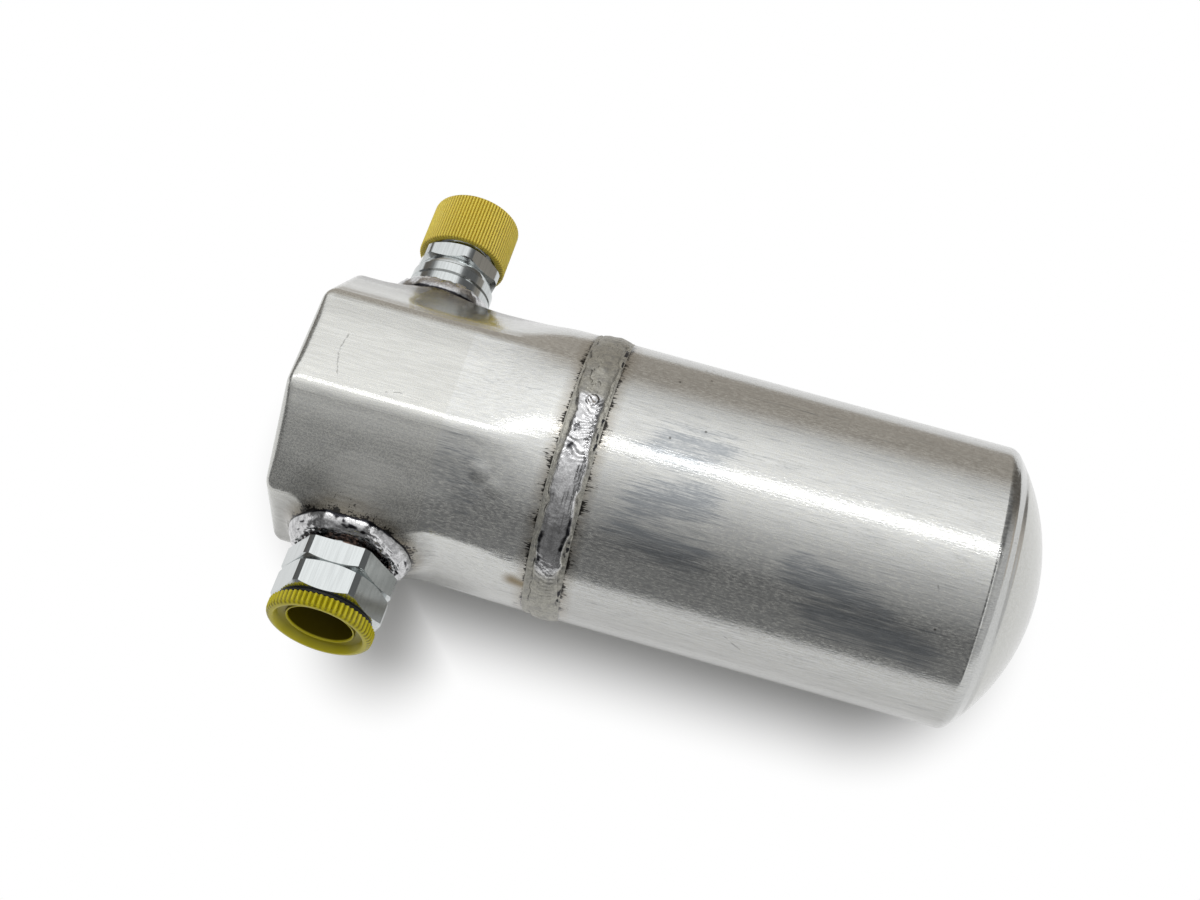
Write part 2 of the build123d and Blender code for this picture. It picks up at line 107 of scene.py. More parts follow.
outlet_joint = next(j for j in frame["joints"] if j["name"] == "outlet_plug_turn")


def srgb(code):
    """An sRGB hex colour as linear RGBA."""
    parts = [int(code[i:i + 2], 16) / 255 for i in (0, 2, 4)]
    return (*[p / 12.92 if p <= 0.04045 else ((p + 0.055) / 1.055) ** 2.4 for p in parts], 1.0)


def add(tree, kind, values=None, output=None, **settings):
    """Adds a shader node with its settings, sets or links its inputs, and returns one output."""
    node = tree.nodes.new("ShaderNode" + kind)
    for name, value in settings.items():
        setattr(node, name, value)
    for key, value in (values or {}).items():
        found = [s for s in node.inputs if s.enabled and s.name == key]
        socket = found[0] if found else node.inputs[key]
        if isinstance(value, bpy.types.NodeSocket):
            tree.links.new(value, socket)
        else:
            socket.default_value = value
    if output:
        return node.outputs[output]
    return next((s for s in node.outputs if s.enabled), None)


def material(name, surface):
    """A material whose surface(tree) gives the Principled shader's values and links."""
    made = bpy.data.materials.new(name)
    made.use_nodes = True
    tree = made.node_tree
    tree.nodes.clear()
    add(tree, "OutputMaterial", {"Surface": add(tree, "BsdfPrincipled", surface(tree))})
    return made


def dress(made, *names):
    """Gives CAD nodes their finish."""
    for name in names:
        for slot in nodes[name].material_slots:
            slot.material = made


def per_metre(*sizes):
    """Pattern scales for features of these sizes, in mm, along X, Y and Z."""
    return tuple(1 / (size * MM) for size in sizes)


def on_can(x, degrees):
    """A place on the can's wall, by station and angle round the axis."""
    angle = radians(degrees)
    return x, CAN_R * cos(angle), CAN_R * sin(angle)


def on_flat(x, degrees, across):
    """A place on one of the head's flats, by station and distance from its middle line."""
    angle = radians(degrees)
    return (x, FLAT * cos(angle) - across * sin(angle), FLAT * sin(angle) + across * cos(angle))


def distance_to(tree, place, start, end):
    """Distance from a place to the straight line between two points, in metres."""
    start, reach = np.array(start), np.array(end) - start
    squared = max(float(reach @ reach), 1e-12)
    offset = add(tree, "VectorMath", {0: place, 1: tuple(start)}, operation="SUBTRACT")
    share = add(tree, "VectorMath", {0: offset, 1: tuple(reach / squared)},
                output="Value", operation="DOT_PRODUCT")
    share = add(tree, "Math", {0: share, 1: 1.0}, operation="MULTIPLY", use_clamp=True)
    along = add(tree, "VectorMath", {0: tuple(reach), "Scale": share}, operation="SCALE")
    return add(tree, "VectorMath", {0: offset, 1: along}, output="Value", operation="DISTANCE")


def marks(tree, place, strokes, width):
    """Mask of straight marks on the surface, 1 along each stroke's middle."""
    mask = None
    for start, end in strokes:
        aside = distance_to(tree, place, np.array(start) * MM, np.array(end) * MM)
        near = add(tree, "MapRange", {
            "Value": aside, "From Max": width * MM, "To Min": 1.0, "To Max": 0.0,
        }, interpolation_type="SMOOTHSTEP")
        mask = near if mask is None else add(tree, "Math", {0: mask, 1: near},
                                             operation="MAXIMUM")
    return mask


def seam_soot(tree, along, toe, reach):
    """Nearness to the girth weld's toe: 1 at it, 0 beyond reach."""
    distance = add(tree, "Math", {0: along, 1: toe * MM}, operation="SUBTRACT")
    distance = add(tree, "Math", {0: distance}, operation="ABSOLUTE")
    return add(tree, "MapRange", {
        "Value": distance, "From Max": reach * MM, "To Min": 1.0, "To Max": 0.0,
    })


def port_soot(tree, place, reach):
    """Nearness to the toes of both fittings' welds: 1 at a toe, 0 beyond reach."""
    out = tuple(inlet_joint["axis"])
    offset = add(tree, "VectorMath", {0: place, 1: tuple(inlet_joint["pos_m"])},
                 operation="SUBTRACT")
    height = add(tree, "VectorMath", {0: offset, 1: out}, output="Value",
                 operation="DOT_PRODUCT")
    axial = add(tree, "VectorMath", {0: out, "Scale": height}, operation="SCALE")
    radial = add(tree, "VectorMath", {0: offset, 1: axial}, output="Value",
                 operation="DISTANCE")
    return add(tree, "MapRange", {
        "Value": radial, "From Min": PORT_TOE * MM, "From Max": reach * MM,
        "To Min": 1.0, "To Max": 0.0,
    })


def soot_cover(tree, place, near, hair, amount):
    """Share of soot near a weld: flecks and hairs where it is near, clean further out."""
    drawn = add(tree, "VectorMath", {0: place, 1: per_metre(*hair)}, operation="MULTIPLY")
    hairs = add(tree, "TexNoise", {"Vector": drawn, "Scale": 1.0, "Detail": 3.0})
    drifts = add(tree, "TexNoise", {"Vector": place, "Scale": 1 / (SOOT_DRIFT * MM)})
    both = add(tree, "Math", {0: hairs, 1: drifts}, operation="ADD")
    close = add(tree, "Math", {0: near, 1: 3.0}, operation="POWER")
    reached = add(tree, "Math", {0: close, 1: amount, 2: both}, operation="MULTIPLY_ADD")
    cover = add(tree, "MapRange", {"Value": reached, "From Min": 1.2, "From Max": 1.34},
                interpolation_type="SMOOTHSTEP")
    close = add(tree, "MapRange", {"Value": near, "From Max": 0.4},
                interpolation_type="SMOOTHSTEP")
    return add(tree, "Math", {0: cover, 1: close}, operation="MULTIPLY")


def fullness(tree, place, along):
    """Height of the head's flats, crowned by the press: lower beside each of their edges."""
    parts = add(tree, "SeparateXYZ", {"Vector": place}, output="Z").node.outputs
    turn = add(tree, "Math", {0: parts["Z"], 1: parts["Y"]}, operation="ARCTAN2")
    turn = add(tree, "Math", {0: turn, 1: 4 / pi, 2: FLAT_TURN}, operation="MULTIPLY_ADD")
    aside = add(tree, "Math", {0: turn, 1: 0.5, 2: -0.5}, operation="WRAP")
    aside = add(tree, "Math", {0: aside}, operation="ABSOLUTE")
    fall = add(tree, "MapRange", {"Value": aside, "From Max": 0.5},
               interpolation_type="SMOOTHSTEP")
    fall = add(tree, "Math", {0: fall, 1: 3.0}, operation="POWER")
    flat = add(tree, "MapRange", {
        "Value": along, "From Min": (DIE_EDGE - 2.3 - SEAT_X) * MM,
        "From Max": (HEAD_ROUND - SEAT_X) * MM, "To Min": -1.0, "To Max": 0.0,
    }, interpolation_type="SMOOTHSTEP")
    beside_end = add(tree, "MapRange", {
        "Value": along, "From Min": (0.5 - SEAT_X) * MM, "From Max": (4.5 - SEAT_X) * MM,
    }, interpolation_type="SMOOTHSTEP")
    flat = add(tree, "Math", {0: flat, 1: beside_end}, operation="MULTIPLY")
    return add(tree, "Math", {0: fall, 1: flat}, operation="MULTIPLY")


def drawn_aluminium(toe, pressed_to, shoulder, rub, rubs, scratches, pits, bumps, burns):
    """Washed drawn aluminium: pale flecks of bloom over satin metal, rubbed along the axis.

    Up to pressed_to, the edge of the press's die, the flecks are whole and coarse. The
    shoulder is rubbed bright, and the dome beyond it keeps all its bloom. Painted shade,
    a dark dull tint, darkens the part low down and round the outlet, soot and scorch lie
    beside the welds, and the coat is the thin film of oil that the wash left.
    """
    is_head = pressed_to > -SEAT_X

    def surface(tree):
        place = add(tree, "TexCoord", output="Object")
        along = add(tree, "SeparateXYZ", {"Vector": place})
        parts = along.node.outputs
        drawn = add(tree, "VectorMath", {0: place, 1: per_metre(
            GRAIN_LONG, GRAIN_FINE, GRAIN_FINE,
        )}, operation="MULTIPLY")
        lines = add(tree, "TexNoise", {
            "Vector": drawn, "Scale": 1.0, "Detail": 3.0, "Roughness": 0.6,
        })
        drawn = add(tree, "VectorMath", {0: place, 1: per_metre(FLECK_LONG, SPECKLE, SPECKLE)},
                    operation="MULTIPLY")
        flecks = add(tree, "TexNoise", {"Vector": drawn, "Scale": 1.0, "Detail": 1.5})
        grains = add(tree, "TexNoise", {
            "Vector": place, "Scale": 1 / (SPECKLE * 1.25 * MM), "Detail": 1.5,
        })
        drawn = add(tree, "VectorMath", {0: place, 1: per_metre(
            STREAK_LONG, STREAK_WIDE, STREAK_WIDE,
        )}, operation="MULTIPLY")
        streaks = add(tree, "TexNoise", {
            "Vector": drawn, "Scale": 1.0, "Detail": 4.0, "Roughness": 0.65,
        })
        pressed = add(tree, "MapRange", {
            "Value": along, "From Min": (pressed_to - 0.6) * MM,
            "From Max": (pressed_to + 0.6) * MM, "To Min": 1.0, "To Max": 0.0,
        }, interpolation_type="SMOOTHSTEP")
        domed = add(tree, "MapRange", {
            "Value": along, "From Min": (shoulder + 1.5) * MM, "From Max": (shoulder + 3.5) * MM,
        }, interpolation_type="SMOOTHSTEP")
        whole = add(tree, "Math", {0: pressed, 1: domed}, operation="MAXIMUM")
        flecks = add(tree, "Mix", {"Factor": whole, "A": flecks, "B": grains},
                     data_type="FLOAT")

        # Where the bloom is rubbed off
        rubbed = add(tree, "Math", {0: marks(tree, place, rubs, RUBBED), 1: rub},
                     operation="MULTIPLY")
        rubbed = add(tree, "Math", {0: streaks, 1: 0.9, 2: rubbed}, operation="MULTIPLY_ADD")
        rubbed = add(tree, "Math", {0: lines, 1: 1.0, 2: rubbed}, operation="MULTIPLY_ADD")
        rubbed = add(tree, "Math", {0: flecks, 1: 0.5, 2: rubbed}, operation="MULTIPLY_ADD")
        rubbed = add(tree, "MapRange", {
            "Value": rubbed, "From Min": 1.3, "From Max": 1.72, "To Max": 0.8,
        }, interpolation_type="SMOOTHSTEP")
        kept = add(tree, "Math", {0: 1.0, 1: whole}, operation="SUBTRACT")
        rubbed = add(tree, "Math", {0: rubbed, 1: kept}, operation="MULTIPLY")
        edge = add(tree, "MapRange", {
            "Value": along, "From Min": (shoulder - 4.5) * MM, "From Max": (shoulder - 1.5) * MM,
        }, interpolation_type="SMOOTHSTEP")
        edge_end = add(tree, "MapRange", {
            "Value": along, "From Min": (shoulder + 1.0) * MM, "From Max": (shoulder + 3.0) * MM,
            "To Min": 1.0, "To Max": 0.0,
        }, interpolation_type="SMOOTHSTEP")
        edge = add(tree, "Math", {0: edge, 1: edge_end}, operation="MULTIPLY")
        worn = add(tree, "Math", {0: rubbed, 1: edge}, operation="MAXIMUM")

        # The bloom that is left, over bare metal
        share = add(tree, "MapRange", {"Value": flecks, "From Min": 0.3, "From Max": 0.76},
                    interpolation_type="SMOOTHSTEP")
        share = add(tree, "Math", {0: whole, 1: 0.35, 2: share}, operation="MULTIPLY_ADD",
                    use_clamp=True)
        clean = add(tree, "Math", {0: worn, 1: -0.6, 2: 1.0}, operation="MULTIPLY_ADD")
        share = add(tree, "Math", {0: share, 1: clean}, operation="MULTIPLY")
        colour = add(tree, "Mix", {"Factor": share, "A": srgb(BARE), "B": srgb(BLOOM)},
                     data_type="RGBA")
        colour = add(tree, "Mix", {"Factor": rubbed, "A": colour, "B": srgb(RUBBED_BARE)},
                     data_type="RGBA")
        paler = add(tree, "MapRange", {
            "Value": pressed, "To Min": 1.16 if is_head else 1.0, "To Max": 1.06,
        }, interpolation_type="SMOOTHSTEP")
        colour = add(tree, "VectorMath", {0: colour, 1: paler}, operation="MULTIPLY")

        # Painted shade: a dark tint, darker towards the bottom of the part and round the outlet on
        # its side
        low = add(tree, "MapRange", {
            "Value": parts["Z"], "From Min": 34 * MM, "From Max": -10 * MM,
        }, interpolation_type="SMOOTHSTEP")
        patchy = add(tree, "MapRange", {
            "Value": streaks, "From Min": 0.3, "From Max": 0.7, "To Min": 0.64, "To Max": 0.8,
        }, interpolation_type="SMOOTHSTEP")
        painted_shade = add(tree, "Math", {0: low, 1: patchy}, operation="MULTIPLY")
        outlet_side = add(tree, "MapRange", {
            "Value": parts["Y"], "From Min": 5 * MM, "From Max": -5 * MM,
        }, interpolation_type="SMOOTHSTEP")
        patchy = add(tree, "MapRange", {
            "Value": streaks, "From Min": 0.3, "From Max": 0.7, "To Min": 0.55, "To Max": 0.8,
        }, interpolation_type="SMOOTHSTEP")
        # painted shade round the outlet, on the outlet's side only
        outlet_shade = add(tree, "Math", {0: port_soot(tree, place, PORT_SHADE_REACH), 1: outlet_side},
                   operation="MULTIPLY")
        outlet_shade = add(tree, "Math", {0: outlet_shade, 1: patchy}, operation="MULTIPLY")
        painted_shade = add(tree, "Math", {0: painted_shade, 1: outlet_shade}, operation="MAXIMUM")
        colour = add(tree, "Mix", {"Factor": painted_shade, "A": colour, "B": srgb(PAINTED_SHADE_TINT)},
                     data_type="RGBA")
        tone = add(tree, "MapRange", {
            "Value": lines, "From Min": 0.3, "From Max": 0.7, "To Min": 1.06, "To Max": 0.88,
        }, interpolation_type="SMOOTHSTEP")
        colour = add(tree, "VectorMath", {0: colour, 1: tone}, operation="MULTIPLY")

        # Scorch and soot beside the welds
        seam = seam_soot(tree, along, toe, SEAM_SOOT)
        port = port_soot(tree, place, PORT_SOOT)
        scorch = add(tree, "Math", {0: seam, 1: port}, operation="MAXIMUM")
        scorch = add(tree, "Math", {0: scorch, 1: streaks}, operation="MULTIPLY")
        scorch = add(tree, "Math", {0: scorch, 1: marks(tree, place, burns, DENT_R)},
                     operation="MAXIMUM")
        colour = add(tree, "Mix", {"Factor": scorch, "A": colour, "B": srgb(SCORCH)},
                     data_type="RGBA")
        beside_seam = soot_cover(tree, place, seam, SOOT_HAIR, 0.36)
        beside_port = soot_cover(tree, place, port, (0.6, 0.6, 0.6), 0.37)
        soot = add(tree, "Math", {0: beside_seam, 1: beside_port}, operation="MAXIMUM")
        colour = add(tree, "Mix", {"Factor": soot, "A": colour, "B": srgb(SOOT)},
                     data_type="RGBA")

        # Scratches that waver a little, and pits
        shake = add(tree, "TexNoise", {"Vector": place, "Scale": 1 / (SCRATCH_WAVER * MM)},
                    output="Color")
        shake = add(tree, "VectorMath", {0: shake, 1: (2 * SCRATCH_SWAY * MM,) * 3, 2: place},
                    operation="MULTIPLY_ADD")
        shaken = add(tree, "VectorMath", {0: shake, 1: (SCRATCH_SWAY * MM,) * 3},
                     operation="SUBTRACT")
        dark = marks(tree, shaken, scratches, SCRATCH_HALF)
        dark = add(tree, "Math", {0: dark, 1: 0.5}, operation="MULTIPLY")
        dark = add(tree, "Math", {0: dark, 1: marks(tree, place, pits, PIT_R)},
                   operation="MAXIMUM")
        colour = add(tree, "Mix", {"Factor": dark, "A": colour, "B": srgb(SCRATCH)},
                     data_type="RGBA")

        # Shine and relief
        rough = add(tree, "Math", {0: share, 1: 0.12, 2: 0.09}, operation="MULTIPLY_ADD")
        rough = add(tree, "Math", {0: whole, 1: -0.03, 2: rough}, operation="MULTIPLY_ADD")
        rough = add(tree, "Math", {0: lines, 1: 0.06, 2: rough}, operation="MULTIPLY_ADD")
        metallic = add(tree, "Math", {0: share, 1: -0.3, 2: 1.0}, operation="MULTIPLY_ADD")
        bump = add(tree, "Bump", {
            "Strength": 1.0, "Distance": 1.0 * MM if is_head else -0.6 * MM,
            "Height": fullness(tree, place, along) if is_head else edge,
        })
        bump = add(tree, "Bump", {
            "Strength": 0.45, "Distance": 0.04 * MM, "Height": lines, "Normal": bump,
        })
        bump = add(tree, "Bump", {
            "Strength": 0.4, "Distance": 0.06 * MM, "Height": flecks, "Normal": bump,
        })
        bump = add(tree, "Bump", {
            "Strength": 1.0, "Distance": 0.4 * MM,
            "Height": marks(tree, place, bumps, DENT_R), "Normal": bump,
        })
        return {
            "Base Color": colour, "Metallic": metallic, "Roughness": rough, "Normal": bump,
            "Coat Weight": 0.35, "Coat Roughness": 0.06,
        }
    return surface


def dot(place):
    """A mark with no length."""
    return place, place


weld_toe = GIRTH_WIDTH / 2
can_scratches = [
    (on_can(-10.1, 146), on_can(-4.8, 151.6)),
    (on_can(16.7, 164.2), on_can(27.3, 163.1)),
    (on_can(43.8, 99.5), on_can(44.7, 102)),
    (on_can(-50.2, 84.2), on_can(-48.3, 84.3)),
    (on_can(-46.5, 28.7), on_can(-41.5, 32.0)),
]
can_pits = [dot(on_can(*place)) for place in (
    (-40.9, 72.8), (-31.4, 66.2), (-43, 44), (-34.1, 36.7), (-34.6, 25), (-36.5, 27.8), (20, -60),
    (-20, -110), (35, 200), (46.6, 116),
)]
head_scratches = [
    (on_flat(-141.5, 67.4, -3), on_flat(-142.2, 67.4, 4)),
    (on_flat(-142.2, 67.4, 4), on_flat(-140, 67.4, 11)),
    (on_flat(-124.4, 67.4, 12.9), on_flat(-119.3, 67.4, 11.6)),
    (on_flat(-84.8, 67.4, -4.9), on_flat(-84.6, 67.4, -3.7)),
]
head_pits = [dot(on_flat(*place)) for place in (
    (-90.2, 67.4, 6), (-111.8, 67.4, 17.7), (-93.9, 112.4, -10.9), (-120, -112.4, 5),
    (-100, -67.4, -8),
)]
head_bumps = [dot(on_flat(-91.4, 112.4, -5.4)), dot(on_flat(-85.7, 112.4, -2.0))]
can_rubs = [
    (on_can(-44, 98.8), on_can(-27, 92.9)),
    (on_can(-47, 110.4), on_can(-27, 115)),
    (on_can(5, 108), on_can(31, 118)),
    (on_can(14, 122), on_can(44, 126)),
    (on_can(-41, 75.4), on_can(-27, 74.7)),
    (on_can(-30, -95), on_can(10, -102)),
    (on_can(10, 215), on_can(40, 222)),
]
head_rubs = [
    (on_flat(-99, 112.4, -8), on_flat(-92.5, 112.4, 4)),
    (on_flat(-95, -67.4, 2), on_flat(-86, -67.4, -8)),
    (on_flat(-97, -112.4, 6), on_flat(-88, -112.4, -6)),
]
dress(material("washed_aluminium_can", drawn_aluminium(
    GIRTH_X + weld_toe - SEAT_X, NOT_PRESSED, SHOULDER_X, 0.42, can_rubs,
    can_scratches, can_pits,
    [dot(on_can(40, -120))], [dot(on_can(-65, 158))],
)), "can_shell")
washed_head = material("washed_aluminium_head", drawn_aluminium(
    GIRTH_X - weld_toe - SEAT_X, DIE_EDGE - SEAT_X, SEAT_X, 0.24, head_rubs,
    head_scratches, head_pits, head_bumps, [(on_can(-72.5, 148.9), on_can(-75.4, 148))],
))
dress(washed_head, "head_shell")


# The girth weld: one turn of aluminium filler that joins the two cups, laid by hand.
# It starts and stops beside the inlet, runs in ripples from there, and is fused smooth
# where it was gone over again. Pale etched bands and soot lie along both its toes.

GIRTH_CROWN = 1.22
GIRTH_LIMIT = 1.29                      # the highest lump, just under what the weld may reach
GIRTH_COLUMNS = 1320
DEGREE = 0.776                          # length of one degree round the can's wall
RIPPLE = 1.9                            # distance from one ripple to the next
WELD_SKIN = 2.2                         # size of the skin's cloudy patches
WELD_GRIT = 0.5                         # a real grain is under 0.2, too fine to show


def grid_mesh(name, points, looped, sharp=40, **shares):
    """A piece from rows of points that close round; its rows loop too, or end in flat caps.

    Shares, such as soot or heat, are kept with the points by name, for the material.
    """
    points = np.asarray(points)
    rows, columns = points.shape[:2]
    index = np.arange(rows * columns).reshape(rows, columns)
    near = index if looped else index[:-1]
    far = np.roll(index, -1, 0) if looped else index[1:]
    faces = np.stack([near, np.roll(near, -1, 1), np.roll(far, -1, 1), far], -1)
    faces = faces.reshape(-1, 4).tolist()
    if not looped:
        faces += [index[0].tolist(), index[-1].tolist()]
    mesh = bpy.data.meshes.new(name)
    mesh.from_pydata((points.reshape(-1, 3) * MM).tolist(), [], faces)
    solid = bmesh.new()
    solid.from_mesh(mesh)
    bmesh.ops.recalc_face_normals(solid, faces=solid.faces)
    solid.to_mesh(mesh)
    solid.free()
    for share, values in shares.items():
        layer = mesh.attributes.new(share, "FLOAT", "POINT")
        layer.data.foreach_set("value", np.broadcast_to(values, (rows, columns)).ravel())
    mesh.shade_smooth()
    mesh.set_sharp_from_angle(angle=radians(sharp))
    piece = bpy.data.objects.new(name, mesh)
    bpy.context.scene.collection.objects.link(piece)
    return piece


def lumps(across, around, seed, rows, columns):
    """Smooth seeded lumps, -1 to 1, over a strip that closes round; both places run 0 to 1."""
    grid = np.random.default_rng(seed).uniform(-1, 1, (rows + 2, columns))
    a, b = np.broadcast_arrays(across * rows, around * columns)
    i, j = np.floor(a).astype(int), np.floor(b).astype(int)
    s, t = a - i, b - j
    s, t = s * s * (3 - 2 * s), t * t * (3 - 2 * t)
    j, k = j % columns, (j + 1) % columns
    low = (1 - t) * grid[i, j] + t * grid[i, k]
    high = (1 - t) * grid[i + 1, j] + t * grid[i + 1, k]
    return (1 - s) * low + s * high


def step(value, low, high):
    """Smooth step from 0 at low to 1 at high."""
    share = np.clip((value - low) / (high - low), 0, 1)
    return share * share * (3 - 2 * share)


def hump(value, centre, width):
    """Bell curve, 1 at its centre."""
    return np.exp(-((value - centre) / width) ** 2)


def girth_bead():
    """The bead over the cups, by place across it and angle round it, with its soot and heat."""
    turn = np.arange(GIRTH_COLUMNS) / GIRTH_COLUMNS
    across = np.linspace(0, 1, 73)[:, None]
    offset = (across - 0.5) * GIRTH_WIDTH
    degrees = (turn * 360)[None, :]
    # Stretches by angle, where 0 is level on the inlet's side and 90 is overhead
    fused = step(degrees, 84, 96) * (1 - step(degrees, 126, 150))
    overlap = step(degrees, 18, 28) * (1 - step(degrees, 60, 66))
    crossed = step(degrees, 62, 68) * (1 - step(degrees, 86, 94))
    low = step(degrees, 128, 146) * (1 - step(degrees, 196, 215))

    # Toes that wander, a round crown between them and a thin skirt of melted wall
    toe = 0 * across
    left = -4.1 + 0.7 * lumps(toe, turn, 3, 1, 26) + 0.4 * lumps(toe, turn, 6, 1, 90)
    left = left - 0.7 * overlap + 0.5 * crossed + 0.5 * step(degrees, 112, 130)
    right = 4.3 + 0.5 * lumps(toe, turn, 4, 1, 31) + 0.4 * lumps(toe, turn, 9, 1, 100)
    right = right - 0.5 * crossed
    place = np.clip((offset - (left + right) / 2) / ((right - left) / 2), -1, 1)
    crown = (1 - place**2) ** 0.7
    shelf = step(offset, -5.7, -5.0) * (1 - step(offset, 4.6, 5.7))

    # Ripples, dabs and folds
    arc = turn * 2 * pi * CAN_R + 1.6 * lumps(across, turn, 13, 3, 70)
    ripple = np.sin(2 * pi * (arc + 0.1 * (offset - 0.4) ** 2) / RIPPLE)
    flow = lumps(across, turn, 17, 24, 34) + 0.8 * lumps(across, turn, 36, 5, 40)
    dabs = lumps(across, turn, 12, 3, 96)
    height = 0.2 * shelf + (GIRTH_CROWN - 0.5) * crown
    height += crown * ripple * (0.05 + 0.03 * crossed - 0.045 * fused - 0.03 * overlap)
    height += crown * (0.14 * lumps(across, turn, 5, 5, 64) + 0.06 * fused * flow)
    height += crown * crossed * (0.32 * dabs + 0.03 * lumps(across, turn, 15, 12, 240))
    folds = np.abs(lumps(across, turn, 16, 9, 60)) + 0.5 * np.abs(lumps(across, turn, 18, 20, 160))
    height -= 0.2 * overlap * crown * (1 - step(folds, 0.02, 0.3))
    height += 0.16 * overlap * crown * lumps(across, turn, 19, 4, 66)

    # Spatter beside the toes, cracks along them, and the crater where the arc was let go
    rough = hump(offset, left - 0.9, 0.9) + 1.4 * hump(offset, right + 0.9, 0.8) + low * crown
    height += 0.09 * rough * lumps(across, turn, 8, 26, 420)
    broken = step(lumps(toe, turn, 27, 1, 110), -0.5, 0.3)
    crack = hump(offset, left - 0.1, 0.25) + (0.25 + 0.5 * broken) * hump(offset, right + 0.2, 0.28)
    crack = crack * (0.35 + 0.65 * broken)
    height -= 0.25 * crack
    crater = np.hypot(offset - 0.4, (degrees - 66.5) * DEGREE)
    crater = crater + 0.7 * lumps(across, turn, 35, 5, 90)
    height += 0.2 * hump(crater, 1.5, 0.4) - 0.1 * hump(crater, 0, 0.9)

    # Soot, brown heat tint and polish, for the material
    patches = lumps(across, turn, 23, 6, 64) + 0.5 * lumps(across, turn, 24, 18, 300)
    stains = lumps(across, turn, 33, 2, 44) + 0.4 * lumps(across, turn, 34, 9, 260)
    sides = hump(np.abs(place), 0.8, 0.26) * step(crown, 0.02, 0.3) * step(stains, -0.1, 0.5)
    sides = sides * step(degrees, 88, 96) * (1 - step(degrees, 134, 148))
    bands = crossed * step(crown, 0.2, 0.7) * step(-dabs + 0.7 * patches, 0.25, 0.75)
    flecks = hump(offset, 5.1, 0.6) * step(patches, 0.3, 0.75)
    rings = hump(crater, 2.1, 0.25) * step(patches, -0.4, 0.2)
    soot = 0.6 * crack + 0.6 * sides + 0.55 * bands + 0.9 * flecks + 0.55 * rings
    soot = np.clip(soot + 0.7 * overlap * crown**0.4 * (1 - step(folds, 0.02, 0.26)), 0, 1)
    heat = overlap * crown**0.3 * (0.8 + 0.5 * step(offset, -1.5, 2.5)) + 0.5 * low * crown
    heat = heat + 0.5 * hump(offset, 5.4, 0.6)
    heat = np.clip(heat + 0.5 * hump(offset, left - 0.9, 0.8) * step(patches, 0.1, 0.5), 0, 1)
    polish = crown**0.5 * np.clip(fused + crossed + 0.3 * (1 - overlap - low), 0, 1)

    # The strip as a closed ring, sunk into the cups
    edge = step(across, 0, 0.03) * (1 - step(across, 0.97, 1))
    radius = CAN_R + np.clip(height, 0.02, GIRTH_LIMIT) * edge
    rim = np.full((1, turn.size), CAN_R - 1.0)
    radius = np.vstack([rim, radius, rim])
    along = np.vstack([offset[:1], offset, offset[-1:]]) + GIRTH_X - SEAT_X
    angle = 2 * pi * turn
    points = np.stack([
        np.broadcast_to(along, radius.shape), radius * np.cos(angle), radius * np.sin(angle),
    ], -1)
    shares = {}
    for name, values in (("soot", soot), ("heat", heat), ("polish", polish)):
        values = np.broadcast_to(values, height.shape)
        shares[name] = np.vstack([values[:1], values, values[-1:]])
    return points, shares


def weld_metal(tree):
    """Solidified filler: glassy where it flowed, matt grey oxide elsewhere, soot in its folds."""
    place = add(tree, "TexCoord", output="Object")
    soot = add(tree, "Attribute", output="Fac", attribute_name="soot")
    heat = add(tree, "Attribute", output="Fac", attribute_name="heat")
    polish = add(tree, "Attribute", output="Fac", attribute_name="polish")
    skin = add(tree, "TexNoise", {
        "Vector": place, "Scale": 1 / (WELD_SKIN * MM), "Detail": 4.0, "Roughness": 0.6,
    })
    grit = add(tree, "TexNoise", {"Vector": place, "Scale": 1 / (WELD_GRIT * MM)})
    oxide = add(tree, "MapRange", {"Value": polish, "From Min": 0.75, "From Max": 0.2},
                interpolation_type="SMOOTHSTEP")
    colour = add(tree, "Mix", {"Factor": oxide, "A": srgb("cacacb"), "B": srgb("a9a79e")},
                 data_type="RGBA")
    tone = add(tree, "MapRange", {
        "Value": grit, "From Min": 0.25, "From Max": 0.75, "To Min": 0.78, "To Max": 1.16,
    }, interpolation_type="SMOOTHSTEP")
    colour = add(tree, "VectorMath", {0: colour, 1: tone}, operation="MULTIPLY")
    tarnish = add(tree, "MapRange", {
        "Value": skin, "From Min": 0.42, "From Max": 0.68, "To Max": 0.45,
    }, interpolation_type="SMOOTHSTEP")
    colour = add(tree, "Mix", {"Factor": tarnish, "A": colour, "B": srgb("6f6f71")},
                 data_type="RGBA")
    patchy = add(tree, "MapRange", {
        "Value": skin, "From Min": 0.3, "From Max": 0.6, "To Min": 0.5,
    }, interpolation_type="SMOOTHSTEP")
    brown = add(tree, "Math", {0: heat, 1: patchy}, operation="MULTIPLY")
    colour = add(tree, "Mix", {"Factor": brown, "A": colour, "B": srgb("3e362a")},
                 data_type="RGBA")
    dirty = add(tree, "Math", {0: skin, 1: 0.8, 2: soot}, operation="MULTIPLY_ADD")
    dirty = add(tree, "MapRange", {"Value": dirty, "From Min": 0.68, "From Max": 1.1},
                interpolation_type="SMOOTHSTEP")
    colour = add(tree, "Mix", {"Factor": dirty, "A": colour, "B": srgb("26262a")},
                 data_type="RGBA")
    rough = add(tree, "Math", {0: oxide, 1: 0.3, 2: 0.12}, operation="MULTIPLY_ADD")
    rough = add(tree, "Math", {0: skin, 1: 0.06, 2: rough}, operation="MULTIPLY_ADD")
    metallic = add(tree, "Math", {0: oxide, 1: -0.3, 2: 1.0}, operation="MULTIPLY_ADD")
    bump = add(tree, "Bump", {"Strength": 0.7, "Distance": 0.2 * MM, "Height": skin})
    bump = add(tree, "Bump", {
        "Strength": 0.4, "Distance": 0.06 * MM, "Height": grit, "Normal": bump,
    })
    return {"Base Color": colour, "Metallic": metallic, "Roughness": rough, "Normal": bump}


girth_points, girth_shares = girth_bead()
girth_weld = grid_mesh("girth_bead", girth_points, True, **girth_shares)
weld_shine = material("weld_aluminium", weld_metal)
girth_weld.data.materials.append(weld_shine)
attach(girth_weld, "vessel")
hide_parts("girth_weld")


